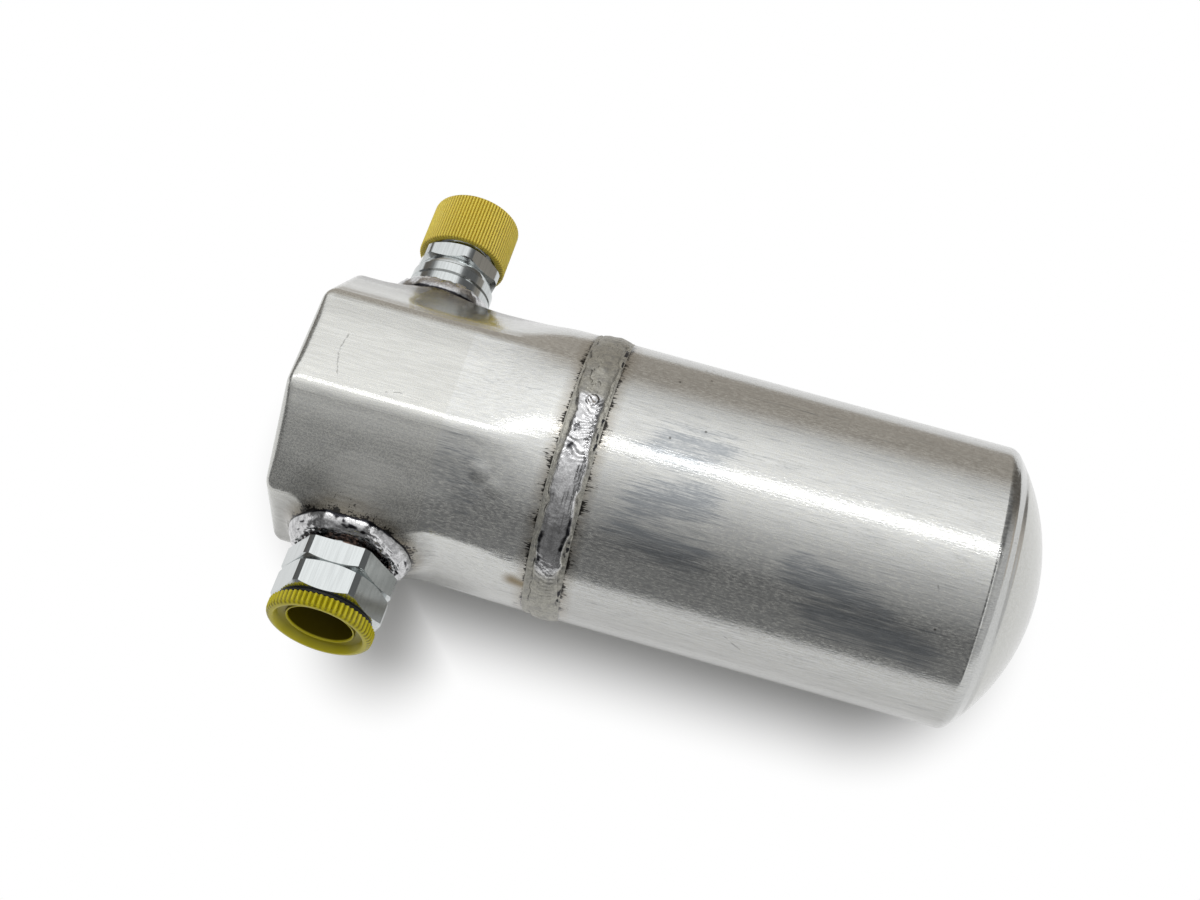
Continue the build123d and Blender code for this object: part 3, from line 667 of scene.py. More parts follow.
# The fittings: bar aluminium, turned, bored and threaded, with spanner hexagons.
# The outlet is a wide hexagon with an inside thread, the inlet a nose with an
# outside thread above a small hexagon. Each stands through the head's wall.

PITCH = 25.4 / 14                       # both threads have 14 turns to the inch
THREAD_DEPTH = 1.1
TOOL_MARK = 0.55                        # real ones are 0.1 apart, too fine to show
TOOL_RUN = 16.667                       # length of one tool mark along the bar
BURN_PATCH = 1.6                        # size of the burnt patches at a fitting's foot
OUTLET_BORE_R = 13.6
OUTLET_ROOT_R = 13.7                    # of the thread ridge's foot, sunk in the bore's wall
OUTLET_THREAD = (53.0, 67.0)            # heights from the can's axis, as for all port parts
OUTLET_BURNT = 50.3                     # height up to which the weld burnt each fitting
INLET_BURNT = 46.5
INLET_HEX_FLATS = 25.4
INLET_TURNED_D = 28.0
INLET_HEX = (59.6, 65.5)
INLET_TURN = radians(16.6)              # how far the hexagon is turned where it was welded
INLET_NECK_R = 13.7
INLET_BORE_R = 7.3
INLET_ENDS = (38.2, 81.0)
NOSE_R = 11.1
NOSE_THREAD = (68.9, 80.0)


def port_points(joint, rows, angles):
    """Points turned about a port: rows of (distance from the can's axis, radius) by angle."""
    out = np.array(joint["axis"])
    right = np.array([1.0, 0.0, 0.0])
    up = np.cross(out, right)
    centre = np.array(joint["pos_m"]) / MM
    points = []
    for distance, radius in rows:
        d = np.broadcast_to(distance, angles.shape)[:, None]
        r = np.broadcast_to(radius, angles.shape)[:, None]
        spoke = np.cos(angles)[:, None] * right + np.sin(angles)[:, None] * up
        points.append(centre + d * out + r * spoke)
    return points


def thread_depth(distance, angles):
    """Depth of a 60 degree thread, 0 at its crest to 1 at its root, rising to the right."""
    phase = (distance / PITCH - angles / (2 * pi)) % 1
    return np.clip(1.35 - 3.1 * np.abs(phase - 0.5), 0, 1)


def thread_rows(start, end, crest, root, angles):
    """Rows of a threaded stretch that fades in and out at its ends."""
    rows = []
    for distance in np.arange(start, end, PITCH / 9):
        fade = step(distance, start, start + PITCH) * (1 - step(distance, end - PITCH, end))
        depth = thread_depth(distance, angles) * fade
        rows.append((distance, crest + (root - crest) * depth))
    return rows


def hexagon_rows(flats, turned_d, base, top, base_angle, top_angle, inner, angles):
    """Rows of a hexagon whose corners are turned off, with a cone at each end."""
    fold = (angles - INLET_TURN + pi / 6) % (pi / 3) - pi / 6
    reach = np.minimum(flats / 2 / np.cos(fold), turned_d / 2)
    return [
        (base, inner),
        (base + (reach - inner) * tan(radians(base_angle)), reach),
        (top - (reach - inner) * tan(radians(top_angle)), reach),
        (top, inner),
    ]


def hexagon_angles(flats, turned_d, count):
    """Angles round a hexagon, with columns right at the ends of its flats."""
    corner = np.arccos(flats / turned_d)
    side = np.linspace(-corner, corner, count)
    edge = np.linspace(corner, pi / 3 - corner, 6)[1:-1]
    one = np.concatenate([side, edge])
    return np.concatenate([one + turn * pi / 3 for turn in range(6)])


def machined_aluminium(joint, burnt_to):
    """Bright machined aluminium, with tool marks along the bar; its foot is burnt brown."""
    def surface(tree):
        place = add(tree, "TexCoord", output="Object")
        out = tuple(joint["axis"])
        height = add(tree, "VectorMath", {0: place, 1: out}, output="Value",
                     operation="DOT_PRODUCT")
        axial = add(tree, "VectorMath", {0: out, "Scale": height}, operation="SCALE")
        flat = add(tree, "VectorMath", {0: place, 1: axial}, operation="SUBTRACT")
        wide = add(tree, "VectorMath", {0: flat, "Scale": 1 / (TOOL_MARK * MM)},
                   operation="SCALE")
        slow = add(tree, "VectorMath", {0: axial, "Scale": 1 / (TOOL_RUN * MM)},
                   operation="SCALE")
        drawn = add(tree, "VectorMath", {0: wide, 1: slow}, operation="ADD")
        tooled = add(tree, "TexNoise", {"Vector": drawn, "Scale": 1.0, "Detail": 2.0})
        tone = add(tree, "MapRange", {
            "Value": tooled, "From Min": 0.35, "From Max": 0.7, "To Min": 1.03, "To Max": 0.91,
        }, interpolation_type="SMOOTHSTEP")
        colour = add(tree, "VectorMath", {0: srgb("c2c6c6")[:3], 1: tone}, operation="MULTIPLY")
        patch = add(tree, "TexNoise", {
            "Vector": place, "Scale": 1 / (BURN_PATCH * MM), "Detail": 3.0,
        })
        burnt = add(tree, "MapRange", {
            "Value": height, "From Min": (burnt_to + 0.7) * MM,
            "From Max": (burnt_to - 1.2) * MM,
        }, interpolation_type="SMOOTHSTEP")
        burnt = add(tree, "Math", {0: patch, 1: 1.2, 2: burnt}, operation="MULTIPLY_ADD")
        burnt = add(tree, "MapRange", {
            "Value": burnt, "From Min": 0.95, "From Max": 1.4, "To Max": 0.92,
        }, interpolation_type="SMOOTHSTEP")
        brown = add(tree, "MapRange", {"Value": patch, "From Min": 0.45, "From Max": 0.65},
                    interpolation_type="SMOOTHSTEP")
        scale = add(tree, "Mix", {"Factor": brown, "A": srgb("221e1c"), "B": srgb("6b5244")},
                    data_type="RGBA")
        colour = add(tree, "Mix", {"Factor": burnt, "A": colour, "B": scale}, data_type="RGBA")
        rough = add(tree, "MapRange", {
            "Value": tooled, "From Min": 0.3, "From Max": 0.7, "To Min": 0.09, "To Max": 0.15,
        }, interpolation_type="SMOOTHSTEP")
        bump = add(tree, "Bump", {"Strength": 0.3, "Distance": 0.02 * MM, "Height": tooled})
        return {"Base Color": colour, "Metallic": 1.0, "Roughness": rough, "Normal": bump}
    return surface


machined_outlet = material("machined_aluminium_outlet",
                           machined_aluminium(outlet_joint, OUTLET_BURNT))
machined_inlet = material("machined_aluminium_inlet",
                          machined_aluminium(inlet_joint, INLET_BURNT))
dress(machined_outlet, "outlet_fitting")


def ridge_points(joint, start, end, base, crest):
    """A thread ridge as a strip wound on the bore's wall, narrow at its crest."""
    turns = (end - start) / PITCH
    winding = np.arange(0, turns * 2 * pi, 2 * pi / 90)
    fade = step(winding, 0, pi) * (1 - step(winding, winding[-1] - pi, winding[-1]))
    rows = []
    for offset, share in ((-0.42, 0), (-0.1, 1), (0.1, 1), (0.42, 0)):
        distance = start + (winding / (2 * pi) + offset) * PITCH
        rows.append((distance, base + (crest - base) * share * fade))
    return np.swapaxes(np.array(port_points(joint, rows, winding)), 0, 1)


outlet_thread = grid_mesh("outlet_thread", ridge_points(
    outlet_joint, *OUTLET_THREAD, OUTLET_ROOT_R, OUTLET_BORE_R - THREAD_DEPTH,
), False)
outlet_thread.data.materials.append(machined_outlet)
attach(outlet_thread, "vessel")

inlet_angles = hexagon_angles(INLET_HEX_FLATS, INLET_TURNED_D, 22) + INLET_TURN
inlet_rows = [
    (INLET_ENDS[0], 11.5), (FLAT, 11.5), (FLAT, INLET_NECK_R), (52.5, INLET_NECK_R),
    (53.0, 13.2), (53.5, INLET_NECK_R), (56.6, INLET_NECK_R), (57.6, 12.7), (58.1, 12.7),
]
inlet_rows += hexagon_rows(
    INLET_HEX_FLATS, INLET_TURNED_D, *INLET_HEX, 30, 30, 12.2, inlet_angles,
)
inlet_rows += [(65.5, 10.0), (67.7, 10.0), (68.8, NOSE_R)]
inlet_rows += thread_rows(*NOSE_THREAD, NOSE_R, NOSE_R - THREAD_DEPTH, inlet_angles)
inlet_rows += [(80.1, NOSE_R), (INLET_ENDS[1], 10.1)]
inlet_rows += [(INLET_ENDS[1], INLET_BORE_R), (INLET_ENDS[0], INLET_BORE_R)]
inlet_fitting = grid_mesh(
    "inlet_nose", port_points(inlet_joint, inlet_rows, inlet_angles), True, 30,
)
inlet_fitting.data.materials.append(machined_inlet)
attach(inlet_fitting, "vessel")
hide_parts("inlet_fitting")


# The fitting welds: a fillet of the same filler round each fitting's neck, in short
# overlapping dabs that leave a lumpy half-round ring in a burnt outline. The head's wall
# was drawn out a little where the holes were pierced, so the rings stand above the flats.

HEAD_CORNER_R = 6.0
FLAT_HALF = (FLAT - HEAD_CORNER_R) * tan(pi / 8)
SWELL_REACH = 27.0                      # radius where the drawn-out wall has run out
SWELL_FALL = 2.6                        # how steeply it falls: 1 is a cone
SWELL_SINK = 0.04                       # how far its rim lies inside the head's wall


def flat_drop(beside):
    """How far the head's outside falls below its flat, at a distance from the flat's middle."""
    past = np.abs(beside) - FLAT_HALF
    turn = np.clip(past, 0, HEAD_CORNER_R * sin(pi / 4))
    drop = HEAD_CORNER_R - np.sqrt(HEAD_CORNER_R**2 - turn**2)
    return drop + np.maximum(past - HEAD_CORNER_R * sin(pi / 4), 0)


def swollen_wall(joint, inner, swell):
    """The head's wall round a port, drawn out when the hole was pierced, up to the weld."""
    angles = 2 * pi * np.arange(240) / 240
    reach = SWELL_REACH + 3.0 * np.cos(angles) + 5.0 * np.sin(angles) ** 2
    rows = [(FLAT + swell - 0.6, inner - 1.5)]
    for share in np.linspace(0, 1, 25):
        radius = inner + (reach - inner) * share
        level = FLAT - flat_drop(radius * np.sin(angles)) - SWELL_SINK * share
        start = swell + flat_drop(inner * np.sin(angles))
        rows.append((level + start * (1 - share) ** SWELL_FALL, radius))
    rows.append((level - 0.5, reach - 0.3))
    rows.append((FLAT - flat_drop(inner * np.sin(angles)) - 0.8, inner - 1.5))
    return port_points(joint, rows, angles)


def collar_bead(joint, neck, outer, swell, top, fold, seed):
    """A ring of weld round a neck, seated on the swollen wall, with its soot."""
    turn = np.arange(720) / 720
    angles = 2 * pi * turn
    across = np.linspace(0, 1, 37)[:, None]
    radius = neck + (outer - neck) * across
    radius = radius + 0.3 * across * lumps(0 * across, turn, seed, 1, 26)
    crown = np.clip(1 - (np.maximum(across - 0.36, 0) / 0.64) ** 2.1, 0, 1) ** 0.6
    hollow = 1 - 0.12 * (1 - step(across, 0.0, 0.3))
    ripple = 0.05 * np.sin(2 * pi * 40 * turn + 6 * across) * crown
    streaks = lumps(across, turn, seed + 3, 8, 22) + 0.4 * lumps(across, turn, seed + 4, 16, 90)
    height = top * crown * hollow + ripple + 0.34 * lumps(across, turn, seed + 1, 3, 17) * crown
    height = height + fold * lumps(across, turn, seed + 2, 9, 60) * crown
    height = height + 0.22 * lumps(across, turn, seed + 5, 10, 26) * crown
    height = np.clip(height, 0, top + 0.3)
    seat = FLAT + swell
    rows = [(seat + h, r) for h, r in zip(height, radius)]
    rows += [(seat - 0.5, radius[-1]), (FLAT - 0.4, neck - 0.3)]
    rows += [(seat + height[0] - 0.2, neck - 0.3)]
    edges = 0.6 * (1 - step(across, 0.0, 0.12)) + step(across, 0.97, 1.0)
    inside = step(across, 0.04, 0.15) * (1 - step(across, 0.35, 0.6))
    soot = np.clip(edges + 0.75 * step(streaks + 0.35 * inside, 0.3, 1.1), 0, 1)
    heat = 0.6 * (1 - step(across, 0.05, 0.2)) * step(streaks, -0.2, 0.4)
    shares = {}
    for name, values in (("soot", soot), ("heat", heat), ("polish", 0 * soot + 0.9)):
        shares[name] = np.vstack([np.broadcast_to(values, height.shape), values[-1:],
                                  np.broadcast_to(values[:1], (2, turn.size))])
    return port_points(joint, rows, angles), shares


# Each ring's neck and outer radius, how far the wall swells, its height, folds and seed
for node, joint, neck, outer, swell, top, fold, seed in (
    ("outlet_weld", outlet_joint, 13.5, 19.3, 3.0, 4.5, 0.2, 21),
    ("inlet_weld", inlet_joint, INLET_NECK_R, 18.2, 1.6, 5.6, 0.5, 41),
):
    seat = grid_mesh(node + "_seat", swollen_wall(joint, outer, swell), True)
    seat.data.materials.append(washed_head)
    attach(seat, "vessel")
    bead_points, bead_shares = collar_bead(joint, neck, outer, swell, top, fold, seed)
    bead = grid_mesh(node + "_bead", bead_points, True, **bead_shares)
    bead.data.materials.append(weld_shine)
    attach(bead, "vessel")
    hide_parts(node)


# The inlet's screw cap: a thin cup moulded in dull yellow polyethylene, with fine
# straight ribs to turn it by and the nose's thread inside. It only keeps dirt out.

CAP_R = 14.6
CAP_RIBS = 84
CAP_RIB_DEPTH = 0.5
CAP_RIB_TOP = 80.0                      # heights from the can's axis, as for all port parts
CAP_EDGE_R = 1.0
CAP_BORE_R = 11.3
CAP_ENDS = (66.8, 84.7)
CAP_FLOOR = 82.6                        # the underside of its end wall
CAP_THREAD_DEPTH = 0.9
CAP_CLOUD = 6.25                        # sizes of faint clouds in the colour, and of its skin
CAP_SKIN = 0.3846
CAP_PLASTIC = ("ecd858", "e1cb4c")
# colour of the painted shade in the valleys between the cap's ribs
CAP_VALLEY_SHADE = "b2962b"
cap_angles = np.arange(CAP_RIBS * 10) / (CAP_RIBS * 10) * 2 * pi
cap_rib = CAP_RIB_DEPTH * (0.5 - 0.5 * np.cos(CAP_RIBS * cap_angles)) ** 1.5


def rim_profile(edge, end, radius, count=6):
    """Points of a quarter round at the end of a cylinder."""
    turns = np.linspace(0, pi / 2, count)
    return [(end - edge + edge * sin(t), radius - edge + edge * cos(t)) for t in turns]


def ribbed_shares(rows, first, last, rib, depth):
    """Depth in the valleys between ribs, kept with the points of the ribbed rows."""
    share = np.zeros((len(rows), rib.size))
    share[first:last] = rib / depth
    return share


cap_outside = [(CAP_ENDS[0], CAP_BORE_R + 1.0), (CAP_ENDS[0], CAP_R - cap_rib - 0.3)]
cap_outside += [(CAP_ENDS[0] + 0.3, CAP_R - cap_rib), (CAP_RIB_TOP, CAP_R - cap_rib)]
for distance, radius in rim_profile(CAP_EDGE_R, CAP_ENDS[1], CAP_R):
    cap_outside.append((distance, np.minimum(radius, CAP_R - cap_rib)))
cap_outside += [(CAP_ENDS[1], 5.0), (CAP_ENDS[1] - 0.15, 1.6), (CAP_ENDS[1] - 0.15, 0.01)]
cap_inside = [(CAP_ENDS[0] + 1.0, CAP_BORE_R)]
cap_inside += thread_rows(*NOSE_THREAD, CAP_BORE_R, CAP_BORE_R - CAP_THREAD_DEPTH,
                          cap_angles + pi)
cap_inside += [(80.2, CAP_BORE_R), (CAP_FLOOR, CAP_BORE_R), (CAP_FLOOR, 0.01)]
cap_rows = cap_inside[::-1] + cap_outside
cap_valleys = ribbed_shares(
    cap_rows, len(cap_inside) + 1, len(cap_inside) + 8, cap_rib, CAP_RIB_DEPTH,
)
inlet_cap = grid_mesh(
    "screw_cap", port_points(inlet_joint, cap_rows, cap_angles), False, 50, valley=cap_valleys,
)


def moulded_polyethylene(tree, cloud_size, skin_size, colours, shade_colour, shade_from, shade_full):
    """Moulded plastic: faint clouds in its colour, a fine skin, and painted shade between its ribs.
    """
    place = add(tree, "TexCoord", output="Object")
    cloud = add(tree, "TexNoise", {
        "Vector": place, "Scale": 1 / (cloud_size * MM), "Detail": 3.0,
    })
    colour = add(tree, "Mix", {"Factor": cloud, "A": srgb(colours[0]), "B": srgb(colours[1])},
                 data_type="RGBA")
    # painted shade: the colour darkens down in the valleys between the ribs
    valley = add(tree, "Attribute", output="Fac", attribute_name="valley")
    valley_shade = add(tree, "MapRange", {
        "Value": valley, "From Min": shade_from, "From Max": shade_full,
    }, interpolation_type="SMOOTHSTEP")
    colour = add(tree, "Mix", {"Factor": valley_shade, "A": colour, "B": srgb(shade_colour)},
                 data_type="RGBA")
    skin = add(tree, "TexNoise", {
        "Vector": place, "Scale": 1 / (skin_size * MM), "Detail": 1.0,
    })
    bump = add(tree, "Bump", {"Strength": 0.15, "Distance": 0.03 * MM, "Height": skin})
    return {"Base Color": colour, "IOR": 1.51, "Normal": bump}


def dull_polyethylene(tree):
    """Matt and even, a little waxy."""
    surface = moulded_polyethylene(
        tree, CAP_CLOUD, CAP_SKIN, CAP_PLASTIC, CAP_VALLEY_SHADE, 0.25, 0.9,
    )
    return {
        **surface, "Roughness": 0.48,
        "Subsurface Weight": 0.08, "Subsurface Radius": (0.002, 0.0015, 0.0005),
    }


inlet_cap.data.materials.append(material("polyethylene_dull_yellow", dull_polyethylene))
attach(inlet_cap, "cap")
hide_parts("inlet_cap")


# The cap's washer and the plug's O-ring: black nitrile rubber, moulded and oiled. The
# washer lies under the cap's end wall, and the O-ring under the plug's flange.

RUBBER_DUST = 1.11                      # size of the dusty patches


def black_rubber(tree):
    """Oiled black rubber: nearly black, with a soft broad shine and fine dust."""
    place = add(tree, "TexCoord", output="Object")
    dust = add(tree, "TexNoise", {
        "Vector": place, "Scale": 1 / (RUBBER_DUST * MM), "Detail": 4.0,
    })
    colour = add(tree, "Mix", {"Factor": dust, "A": srgb("0c0c0c"), "B": srgb("1c1c1b")},
                 data_type="RGBA")
    rough = add(tree, "MapRange", {"Value": dust, "To Min": 0.4, "To Max": 0.6})
    return {
        "Base Color": colour, "Roughness": rough, "IOR": 1.52, "Specular IOR Level": 0.3,
    }


dress(material("nitrile_rubber", black_rubber), "inlet_cap_washer", "outlet_plug_o_ring")


# The outlet's screw plug: moulded in yellow-green polyethylene, with a hollow shank
# that screws into the hexagon and a wide flange with coarse V ribs.

PLUG_R = 16.5
PLUG_RIBS = 60
PLUG_RIB_DEPTH = 0.8
PLUG_EDGE_R = 1.9
PLUG_FLANGE = (69.3, 73.4)
PLUG_THREAD = (56.6, 67.0)
PLUG_ENDS = (55.5, 57.9)                # of the shank, and of the hollow down in it
SHANK_R = 13.3
PLUG_CLOUD = 7.0                        # sizes of faint clouds in the colour, and of its skin
PLUG_SKIN = 0.55
PLUG_PLASTIC = ("cec221", "bbb01a")
# colour of the painted shade in the valleys between the plug's ribs
PLUG_VALLEY_SHADE = "8d820d"
# colour of the painted shade deep in the hollow shank and the recess
PLUG_HOLLOW_SHADE = "4d4404"
plug_angles = np.arange(PLUG_RIBS * 10) / (PLUG_RIBS * 10) * 2 * pi
plug_wave = np.abs(((plug_angles * PLUG_RIBS / (2 * pi)) % 1) * 2 - 1)
plug_rib = PLUG_RIB_DEPTH * np.clip(1.25 * plug_wave - 0.15, 0, 1)
plug_mouth = [                          # height, radius, and share of painted shade: dark in the hollow, half in the recess
    (PLUG_ENDS[1], 0.01, 1), (PLUG_ENDS[1], 9.9, 1), (58.1, 10.1, 1), (70.8, 10.1, 1),
    (71.3, 10.1, 0), (71.6, 10.35, 0), (71.6, 10.6, 0), (71.4, 10.8, 1), (70.8, 10.9, 0.5),
    (70.8, 13.0, 0.5), (71.1, 13.35, 0.5), (73.2, 13.9, 0.05), (PLUG_FLANGE[1], 14.15, 0),
]
plug_rows = [(distance, radius) for distance, radius, depth in plug_mouth]
plug_shade_depths = [depth for distance, radius, depth in plug_mouth]
plug_rim = len(plug_rows)
for distance, radius in rim_profile(PLUG_EDGE_R, PLUG_FLANGE[1], PLUG_R, 9)[::-1]:
    plug_rows.append((distance, np.minimum(radius, PLUG_R - plug_rib)))
plug_rows += [(PLUG_FLANGE[0] + 0.1, PLUG_R - plug_rib), (PLUG_FLANGE[0], PLUG_R - plug_rib - 0.1)]
plug_rows += [(PLUG_FLANGE[0], SHANK_R), (67.4, SHANK_R)]
plug_rows += thread_rows(*PLUG_THREAD, SHANK_R, SHANK_R - THREAD_DEPTH, plug_angles + pi)[::-1]
plug_rows += [(56.5, SHANK_R), (PLUG_ENDS[0], SHANK_R - 1.0), (PLUG_ENDS[0], 0.01)]
plug_shade_depths += [0.0] * (len(plug_rows) - plug_rim)
plug_valleys = ribbed_shares(plug_rows, plug_rim + 2, plug_rim + 11, plug_rib, PLUG_RIB_DEPTH)
outlet_plug = grid_mesh(
    "screw_plug", port_points(outlet_joint, plug_rows, plug_angles), False, 50,
    valley=plug_valleys, depth=np.array(plug_shade_depths)[:, None],
)


def bright_polyethylene(tree):
    """Glossier than the cap: yellow-green, with painted shade, dark olive, down in the hollow shank
    and its recess.
    """
    surface = moulded_polyethylene(
        tree, PLUG_CLOUD, PLUG_SKIN, PLUG_PLASTIC, PLUG_VALLEY_SHADE, 0.15, 0.85,
    )
    # painted shade: dark olive where the hollow and the recess lie deep
    depth = add(tree, "Attribute", output="Fac", attribute_name="depth")
    surface["Base Color"] = add(tree, "Mix", {
        "Factor": depth, "A": surface["Base Color"], "B": srgb(PLUG_HOLLOW_SHADE),
    }, data_type="RGBA")
    return {
        **surface, "Roughness": 0.34, "Specular IOR Level": 0.25,
        "Subsurface Weight": 0.05, "Subsurface Radius": (0.002, 0.002, 0.0004),
    }


outlet_plug.data.materials.append(material("polyethylene_yellow_green", bright_polyethylene))
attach(outlet_plug, "plug")
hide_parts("outlet_plug")


# Inside, the pickup tube is plain drawn aluminium, brazed to the outlet; the deflector
# is pressed sheet of the same. Both keep the mill's finish.

DRAWN_LONG = 14.3                       # drawing lines along the tube: length and width
DRAWN_FINE = 0.625


def mill_aluminium(tree):
    """Mill finish: grey-white, evenly satin, with faint drawing lines."""
    place = add(tree, "TexCoord", output="Object")
    drawn = add(tree, "VectorMath", {0: place, 1: per_metre(
        DRAWN_LONG, DRAWN_FINE, DRAWN_FINE,
    )}, operation="MULTIPLY")
    lines = add(tree, "TexNoise", {"Vector": drawn, "Scale": 1.0, "Detail": 2.0})
    rough = add(tree, "MapRange", {"Value": lines, "To Min": 0.25, "To Max": 0.45})
    bump = add(tree, "Bump", {"Strength": 0.3, "Distance": 0.02 * MM, "Height": lines})
    return {"Base Color": srgb("d4d5d3"), "Metallic": 1.0, "Roughness": rough, "Normal": bump}


dress(material("mill_finish_aluminium", mill_aluminium), "pickup_tube", "deflector")
dress(weld_shine, "tube_braze")


# The spacer, the oil filter's body and the bag's straps are moulded in natural nylon,
# which stands the oil and the heat. They clip on to the tube and carry what is on it.

NYLON_CLOUD = 8.33                      # size of faint clouds in its colour


def natural_nylon(tree):
    """Natural nylon: creamy, with a soft moulded shine."""
    place = add(tree, "TexCoord", output="Object")
    cloud = add(tree, "TexNoise", {
        "Vector": place, "Scale": 1 / (NYLON_CLOUD * MM), "Detail": 2.0,
    })
    colour = add(tree, "Mix", {"Factor": cloud, "A": srgb("e2dece"), "B": srgb("d6d0bc")},
                 data_type="RGBA")
    rough = add(tree, "MapRange", {"Value": cloud, "To Min": 0.34, "To Max": 0.5})
    return {"Base Color": colour, "Roughness": rough, "IOR": 1.53}


dress(material("natural_nylon", natural_nylon), "tube_spacer", "oil_filter_body", "bag_straps")


# The oil filter's screen: plain woven stainless wire round the bleed hole, rolled to a
# sleeve and held in the filter's cage.

SCREEN_PITCH = 0.5                      # real wire is 0.15 apart, drawn coarser to show
WAVES = 20                              # bands that the wave texture lays in one unit


def woven_wire(tree):
    """Plain weave: bright crossing wires over dark gaps."""
    place = add(tree, "TexCoord", output="Object")
    wires = add(tree, "TexWave", {"Vector": place, "Scale": 1 / (SCREEN_PITCH * MM * WAVES)},
                output="Fac", bands_direction="X")
    cross = add(tree, "TexWave", {"Vector": place, "Scale": 1 / (SCREEN_PITCH * MM * WAVES)},
                output="Fac", bands_direction="Y")
    weave = add(tree, "Math", {0: wires, 1: cross}, operation="MAXIMUM")
    colour = add(tree, "Mix", {"Factor": weave, "A": srgb("3a3a38"), "B": srgb("b9b9b5")},
                 data_type="RGBA")
    bump = add(tree, "Bump", {"Strength": 0.6, "Distance": 0.1 * MM, "Height": weave})
    return {"Base Color": colour, "Metallic": 1.0, "Roughness": 0.3, "Normal": bump}


dress(material("woven_stainless_wire", woven_wire), "oil_filter_screen")


# The desiccant bag: a sleeve of white needled felt filled with molecular sieve beads,
# sewn flat at both ends and strapped to the tube.

BAG_TAB = 6.0
BAG_R = 13.52
BAG_TAB_HALF = (11.0, 0.8)              # half width and half thickness of a sewn end
FELT_FUZZ = 0.714                       # size of the fuzz's tufts
NEEDLE_PITCH = 1.43                     # distance between the pits of the needling
bag_low, bag_high = (np.array(corner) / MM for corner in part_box("desiccant_bag"))


def bag_points():
    """The bag's outline from one sewn end to the other, full in the middle."""
    turn = np.arange(120) / 120
    angles = 2 * pi * turn
    tilt = -atan2(outlet_joint["axis"][2], -outlet_joint["axis"][1])
    middle = (bag_low + bag_high) / 2
    points = []
    for share in np.linspace(0, 1, 121):
        x = bag_low[0] + share * (bag_high[0] - bag_low[0])
        end = min(x - bag_low[0], bag_high[0] - x)
        full = float(step(end, BAG_TAB - 1.0, BAG_TAB + 15.0)) ** 0.6
        wide = BAG_TAB_HALF[0] + full * (BAG_R - BAG_TAB_HALF[0]) - 0.4 * float(end < 0.5)
        thick = BAG_TAB_HALF[1] + full * (BAG_R - BAG_TAB_HALF[1])
        pucker = 0.5 * full * (1 - full) * 4 * np.sin(11 * angles)
        beads = -0.25 + 0.25 * lumps(np.full_like(turn, share), turn, 61, 40, 36)
        swell = 1 + (pucker + beads * full - 0.3 * full) / BAG_R
        across, up = wide * swell * np.cos(angles), thick * swell * np.sin(angles)
        points.append(np.stack([
            np.full_like(turn, x),
            middle[1] + across * cos(tilt) - up * sin(tilt),
            middle[2] + across * sin(tilt) + up * cos(tilt),
        ], -1))
    return points


def needled_felt(tree):
    """Needled felt: white, fuzzy, with tiny pits where the needles went in."""
    place = add(tree, "TexCoord", output="Object")
    fuzz = add(tree, "TexNoise", {
        "Vector": place, "Scale": 1 / (FELT_FUZZ * MM), "Detail": 5.0,
    })
    pits = add(tree, "TexVoronoi", {"Vector": place, "Scale": 1 / (NEEDLE_PITCH * MM)},
               output="Distance")
    colour = add(tree, "Mix", {"Factor": fuzz, "A": srgb("efece0"), "B": srgb("d9d4c4")},
                 data_type="RGBA")
    bump = add(tree, "Bump", {"Strength": 0.6, "Distance": 0.2 * MM, "Height": fuzz})
    bump = add(tree, "Bump", {
        "Strength": 0.5, "Distance": 0.2 * MM, "Height": pits, "Normal": bump,
    })
    return {"Base Color": colour, "Roughness": 0.95, "Sheen Weight": 0.3, "Normal": bump}


desiccant_bag = grid_mesh("felt_bag", bag_points(), False)
desiccant_bag.data.materials.append(material("needled_felt", needled_felt))
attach(desiccant_bag, "vessel")
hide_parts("desiccant_bag")


# The table top: white board, on which the part lies near one edge. Away from the part
# the camera and the metal see it burnt out to white, as in a cut-out product photograph.

FLOOR_Z = cad_box[0].z
BOARD_REACH = 3.0
BOARD_EDGE = 0.11                       # from the can's axis to the edge behind the inlet
BURNT_OUT = (0.029, 0.061)              # distances from the part where the fade begins and ends
# Lines on the board under the can and under the outlet, from which it is measured
UNDER_CAN = ((-0.12, -0.012, FLOOR_Z), (0.03, -0.012, FLOOR_Z))
UNDER_OUTLET = ((-0.12, -0.04, FLOOR_Z), (-0.12, -0.064, FLOOR_Z))
OUTLET_NEARER = 0.028                   # the outlet is narrower than the can by this much
floor_mesh = bpy.data.meshes.new("table_top")
floor_mesh.from_pydata(
    [
        (-BOARD_REACH, -BOARD_REACH, FLOOR_Z), (BOARD_REACH, -BOARD_REACH, FLOOR_Z),
        (BOARD_REACH, BOARD_EDGE, FLOOR_Z), (-BOARD_REACH, BOARD_EDGE, FLOOR_Z),
    ], [], [(0, 1, 2, 3)],
)
floor = bpy.data.objects.new("table_top", floor_mesh)
bpy.context.scene.collection.objects.link(floor)

board = bpy.data.materials.new("white_board")
board.use_nodes = True
tree = board.node_tree
tree.nodes.clear()
place = add(tree, "TexCoord", output="Object")
mottle = add(tree, "TexNoise", {"Vector": place, "Scale": 3.0})
colour = add(tree, "Mix", {"Factor": mottle, "A": srgb("f4f4f3"), "B": srgb("f0f0ef")},
             data_type="RGBA")
paper = add(tree, "BsdfPrincipled", {
    "Base Color": colour, "Roughness": 0.9, "Specular IOR Level": 0.0,
})
from_outlet = distance_to(tree, place, *UNDER_OUTLET)
from_outlet = add(tree, "Math", {0: from_outlet, 1: OUTLET_NEARER}, operation="ADD")
from_can = distance_to(tree, place, *UNDER_CAN)
away = add(tree, "Math", {0: from_can, 1: from_outlet}, operation="MINIMUM")
fade = add(tree, "MapRange", {
    "Value": away, "From Min": BURNT_OUT[0], "From Max": BURNT_OUT[1],
}, interpolation_type="SMOOTHSTEP")
seen = add(tree, "LightPath").node.outputs
